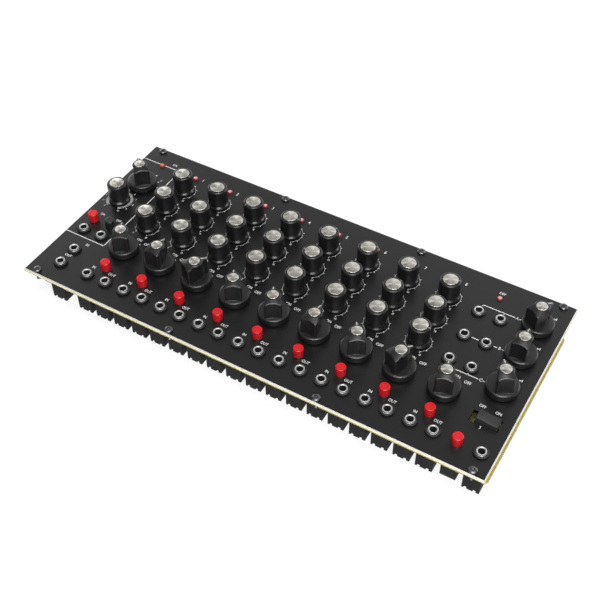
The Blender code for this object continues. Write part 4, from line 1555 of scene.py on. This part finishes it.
@dataclass
class ControlBoard:
    """The board behind the panel with its pots, switches and solder joints."""

    layout: Layout
    front: float
    thickness: float = 1.6
    corner: float = 2.5
    lower_edge: float = 7.4
    opening_gap: float = 0.3
    pot_width: float = 10.0
    pot_length: float = 11.0
    pot_height: float = 6.8
    pot_base: float = 2.6
    can_inset: float = 0.15
    bushing: float = 3.9
    thread: float = 0.5
    socket: float = 3.2
    socket_depth: float = 3.3
    switch_side: float = 8.7
    switch_offset: float = 1.95
    switch_bottom: float = 1.6
    switch_top: float = 18.7
    switch_well: float = 1.75
    well_bottom: float = 13.2

    @property
    def back(self) -> float:
        """Returns the height of the board's back."""
        return self.front - self.thickness

    def build(self) -> None:
        """Makes the board, then what stands on it."""
        self.plate()
        mesh = self.pot_mesh()
        for node in self.layout.knob_nodes():
            put_copy(mesh, self.layout.centre(node), node.replace("_knob", "_pot"), "chassis", "housing")
        mesh = self.switch_mesh()
        for node in self.layout.button_nodes():
            place, turn = self.layout.centre(node), math.pi if node == "shift_button" else 0.0
            put_copy(mesh, place, node.replace("_button", "_switch"), "chassis", "housing", turn=turn)

    def plate(self) -> None:
        """Makes the board's plate, with openings for the sockets that stand in it."""
        low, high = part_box("control_board")
        lower = min(low.y / MM, self.layout.lower + self.lower_edge)
        plate = Shape(BOARD_LACQUER, BOARD_EDGE)
        plate.block(
            (low.x / MM, lower, self.back), (high.x / MM, high.y / MM, self.front), BOARD_LACQUER
        )
        ends = ((edge, edge.verts[0].co - edge.verts[1].co) for edge in plate.body.edges)
        plate.soften([edge for edge, run in ends if run.xy.length < 0.01], self.corner, 6)
        for face in plate.body.faces:
            face.normal_update()
            face.material_index = 0 if abs(face.normal.z) > 0.9 else 1
        openings = Shape()
        gap = self.opening_gap
        for node in SINGLE_JACKS:
            low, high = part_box(node)
            openings.block(
                (low.x / MM - gap, low.y / MM - gap, self.back - 1),
                (high.x / MM + gap, high.y / MM + gap, self.front + 1),
                BOARD_EDGE,
            )
        put_piece("board_plate", plate.cut_by(openings), "chassis", "board", "control_board")

    def pot_mesh(self) -> bpy.types.Mesh:
        """Makes a pot: a can on a black base, a threaded bush and its joints behind.

        Returns:
            Its mesh about its shaft.
        """
        middle, top = self.front + self.pot_base, self.front + self.pot_height
        across, along = self.pot_width / 2, self.pot_length / 2
        wide, long = across - self.can_inset, along - self.can_inset
        body = Shape()
        body.block((-across, -along, self.front), (across, along, middle), HOUSING_BLACK, 0.2)
        body.block((-wide, -long, middle), (wide, long, top), CAN_STEEL, 0.5, 3)
        well = Shape()
        well.turned(((self.socket, top - self.socket_depth), (self.socket, top + 1)), CAN_STEEL, 24)
        pot = Shape(HOUSING_BLACK, CAN_STEEL)
        pot.take_in(body.cut_by(well))
        bush = [(self.socket, top), (self.bushing, top)]
        level = top + 0.3
        while level < self.layout.back - 0.5:
            bush += [(self.bushing, level), (self.bushing - 0.2, level + self.thread / 2)]
            level += self.thread
        bush += [(self.bushing, self.layout.back - 0.05), (self.socket, self.layout.back - 0.05)]
        pot.turned(bush, NICKEL, 28, ring=True)
        contacts = [(x, 1.2 - along) for x in (-2.5, 0.0, 2.5)] + [(x, 1.5) for x in (-4.0, 4.0)]
        joint = ((0.0, -1.5), (0.3, -1.5), (0.32, -0.9), (0.5, -0.4), (0.95, 0.02))
        for place in contacts:
            pot.turned(lifted(self.back, joint), SOLDER, 12, place)
        return pot.finished()

    def switch_mesh(self) -> bpy.types.Mesh:
        """Makes a push-switch: a body through the board, with a well for the plunger.

        Returns:
            Its mesh about its plunger.
        """
        half, offset = self.switch_side / 2, self.switch_offset
        body = Shape()
        low = (-half, -half + offset, self.switch_bottom)
        body.block(low, (half, half + offset, self.switch_top), HOUSING_BLACK, 0.3)
        well = Shape()
        ends = ((self.switch_well, self.well_bottom), (self.switch_well, self.switch_top + 1))
        well.turned(ends, HOUSING_BLACK, 24)
        return body.cut_by(well)


@dataclass
class PowerHeader:
    """The pin header on the board's back."""

    pitch: float = 2.54
    columns: int = 5
    rows: int = 2
    base: float = 2.5
    pin: float = 0.64
    reach: float = 6.0

    def build(self) -> None:
        """Makes the block and drives its pins through."""
        low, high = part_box("power_header")
        x, y, seat = (low.x + high.x) / 2 / MM, (low.y + high.y) / 2 / MM, high.z / MM
        header = Shape()
        left, front = x - self.columns * self.pitch / 2, y - self.rows * self.pitch / 2
        deep, half = seat - self.base, self.pin / 2
        for number in range(self.columns):
            start = left + number * self.pitch
            end = (start + self.pitch, front + self.rows * self.pitch, seat)
            header.block((start, front, deep), end, HOUSING_BLACK, 0.3)
        for number in range(self.columns * self.rows):
            column, row = divmod(number, self.rows)
            across, up = left + (column + 0.5) * self.pitch, front + (row + 0.5) * self.pitch
            header.block(
                (across - half, up - half, deep - self.reach),
                (across + half, up + half, seat - 0.2),
                PIN_GOLD,
                0.12,
                1,
            )
        put_piece("power_header_dressed", header.finished(), "chassis", "housing", "power_header")


@dataclass
class Studio:
    """The floor, the world, the lamps and the camera, in metres."""

    camera_place: Point = (0.20287, -0.33777, 0.43675)
    forward: Point = (-0.3475, 0.5869, -0.7313)
    upward: Point = (-0.3674, 0.6323, 0.6820)
    focal_pixels: float = 1020.5
    picture: int = 600
    sensor: float = 36.0
    whiteness: float = 0.85
    bright_side: Point = (-0.05, 0.93, 0.36)
    bright_edge: Place = (0.79, 0.94)
    room_levels: Place = (0.2, 1.2)
    aim: Point = (0.0, 0.0, 0.02)
    soft_lamps: tuple[tuple[str, Point, Place, float], ...] = (
        ("overhead", (0.35, -0.45, 1.45), (0.8, 0.8), 22.0),
        ("front", (0.55, -0.93, 1.0), (1.1, 0.26), 10.0),
        ("left_back", (-1.2, 0.7, 0.5), (0.7, 0.7), 5.0),
        ("right_back", (0.9, 1.1, 0.5), (0.7, 0.7), 5.0),
    )

    def build(self) -> None:
        """Sets up everything round the module."""
        self.floor()
        self.world()
        self.lamps()
        self.camera()
        bpy.context.scene.view_settings.view_transform = "Standard"

    def floor(self) -> None:
        """Lays a pale floor that the camera sees as nearly white and that keeps the module's shadow."""
        shape = bmesh.new()
        bmesh.ops.create_grid(shape, x_segments=1, y_segments=1, size=4.0)
        mesh = bpy.data.meshes.new("floor")
        shape.to_mesh(mesh)
        shape.free()
        material = bpy.data.materials.new("floor_white")
        material.use_nodes = True
        tree = material.node_tree
        surface = tree.nodes["Principled BSDF"]
        surface.inputs["Base Color"].default_value = linear("#FFFFFF")
        surface.inputs["Roughness"].default_value = 0.9
        surface.inputs["Specular IOR Level"].default_value = 0.0
        path = add_node(tree, "ShaderNodeLightPath").outputs
        seen = path["Is Camera Ray"]
        for ray in ("Is Glossy Ray", "Is Transmission Ray"):
            seen = add_node(tree, "ShaderNodeMath", {0: seen, 1: path[ray]}, operation="ADD").outputs[0]
        share = add_node(tree, "ShaderNodeMath", {0: seen, 1: self.whiteness}, operation="MULTIPLY")
        white = add_node(tree, "ShaderNodeEmission", {"Color": linear("#FFFFFF"), "Strength": 1.0})
        pair = {0: share.outputs[0], 1: surface.outputs[0], 2: white.outputs[0]}
        mixed = add_node(tree, "ShaderNodeMixShader", pair)
        tree.links.new(mixed.outputs[0], tree.nodes["Material Output"].inputs["Surface"])
        mesh.materials.append(material)
        floor = bpy.data.objects.new("floor", mesh)
        bpy.context.scene.collection.objects.link(floor)

    def world(self) -> None:
        """Makes a white room that is bright behind the module and dim everywhere else."""
        world = bpy.data.worlds.new("room")
        world.use_nodes = True
        bpy.context.scene.world = world
        tree = world.node_tree
        background = tree.nodes["Background"]
        where = add_node(tree, "ShaderNodeTexCoord").outputs["Generated"]
        sides = {0: where, 1: Vector(self.bright_side).normalized()}
        toward = add_node(tree, "ShaderNodeVectorMath", sides, operation="DOT_PRODUCT").outputs["Value"]
        ends = dict(zip(("From Min", "From Max", "To Min", "To Max"), self.bright_edge + self.room_levels))
        level = add_node(tree, "ShaderNodeMapRange", {0: toward, **ends}, interpolation_type="SMOOTHSTEP")
        tree.links.new(level.outputs[0], background.inputs["Strength"])
        background.inputs["Color"].default_value = (1.0, 1.0, 1.0, 1.0)

    def lamps(self) -> None:
        """Hangs a broad lamp overhead, a strip on the camera's side and two low ones behind."""
        for name, place, sides, power in self.soft_lamps:
            light = bpy.data.lights.new(name, "AREA")
            light.shape = "RECTANGLE"
            light.size, light.size_y = sides
            light.energy = power
            lamp = bpy.data.objects.new(name, light)
            lamp.location = place
            lamp.rotation_euler = (Vector(self.aim) - Vector(place)).to_track_quat("-Z", "Y").to_euler()
            lamp.visible_camera = False
            bpy.context.scene.collection.objects.link(lamp)

    def camera(self) -> None:
        """Places the camera as the photograph has it."""
        view = bpy.data.cameras.new("camera")
        view.sensor_width = self.sensor
        view.lens = self.focal_pixels / self.picture * self.sensor
        view.clip_start = 0.01
        forward, upward = Vector(self.forward).normalized(), Vector(self.upward)
        right = forward.cross(upward).normalized()
        upward = right.cross(forward)
        camera = bpy.data.objects.new("camera", view)
        turn = Matrix((right, upward, -forward)).transposed().to_4x4()
        camera.matrix_world = Matrix.Translation(self.camera_place) @ turn
        bpy.context.scene.collection.objects.link(camera)
        bpy.context.scene.camera = camera


def main() -> None:
    """Builds every sub-assembly in order and reports it."""
    logging.basicConfig(level=logging.INFO, format="%(name)s %(message)s")
    layout = read_layout()
    board_front = layout.back - BOARD_GAP
    Studio().build()
    for part in (
        PanelPlate(layout),
        PanelPrint(layout),
        Knobs(layout),
        PushButtons(layout),
        JackSocket(layout),
        Lamps(layout, board_front),
        RailScrews(layout),
        Rocker(layout),
        ControlBoard(layout, board_front),
        PowerHeader(),
    ):
        LOG.info("building %s", type(part).__name__)
        part.build()


if __name__ == "__main__":
    main()
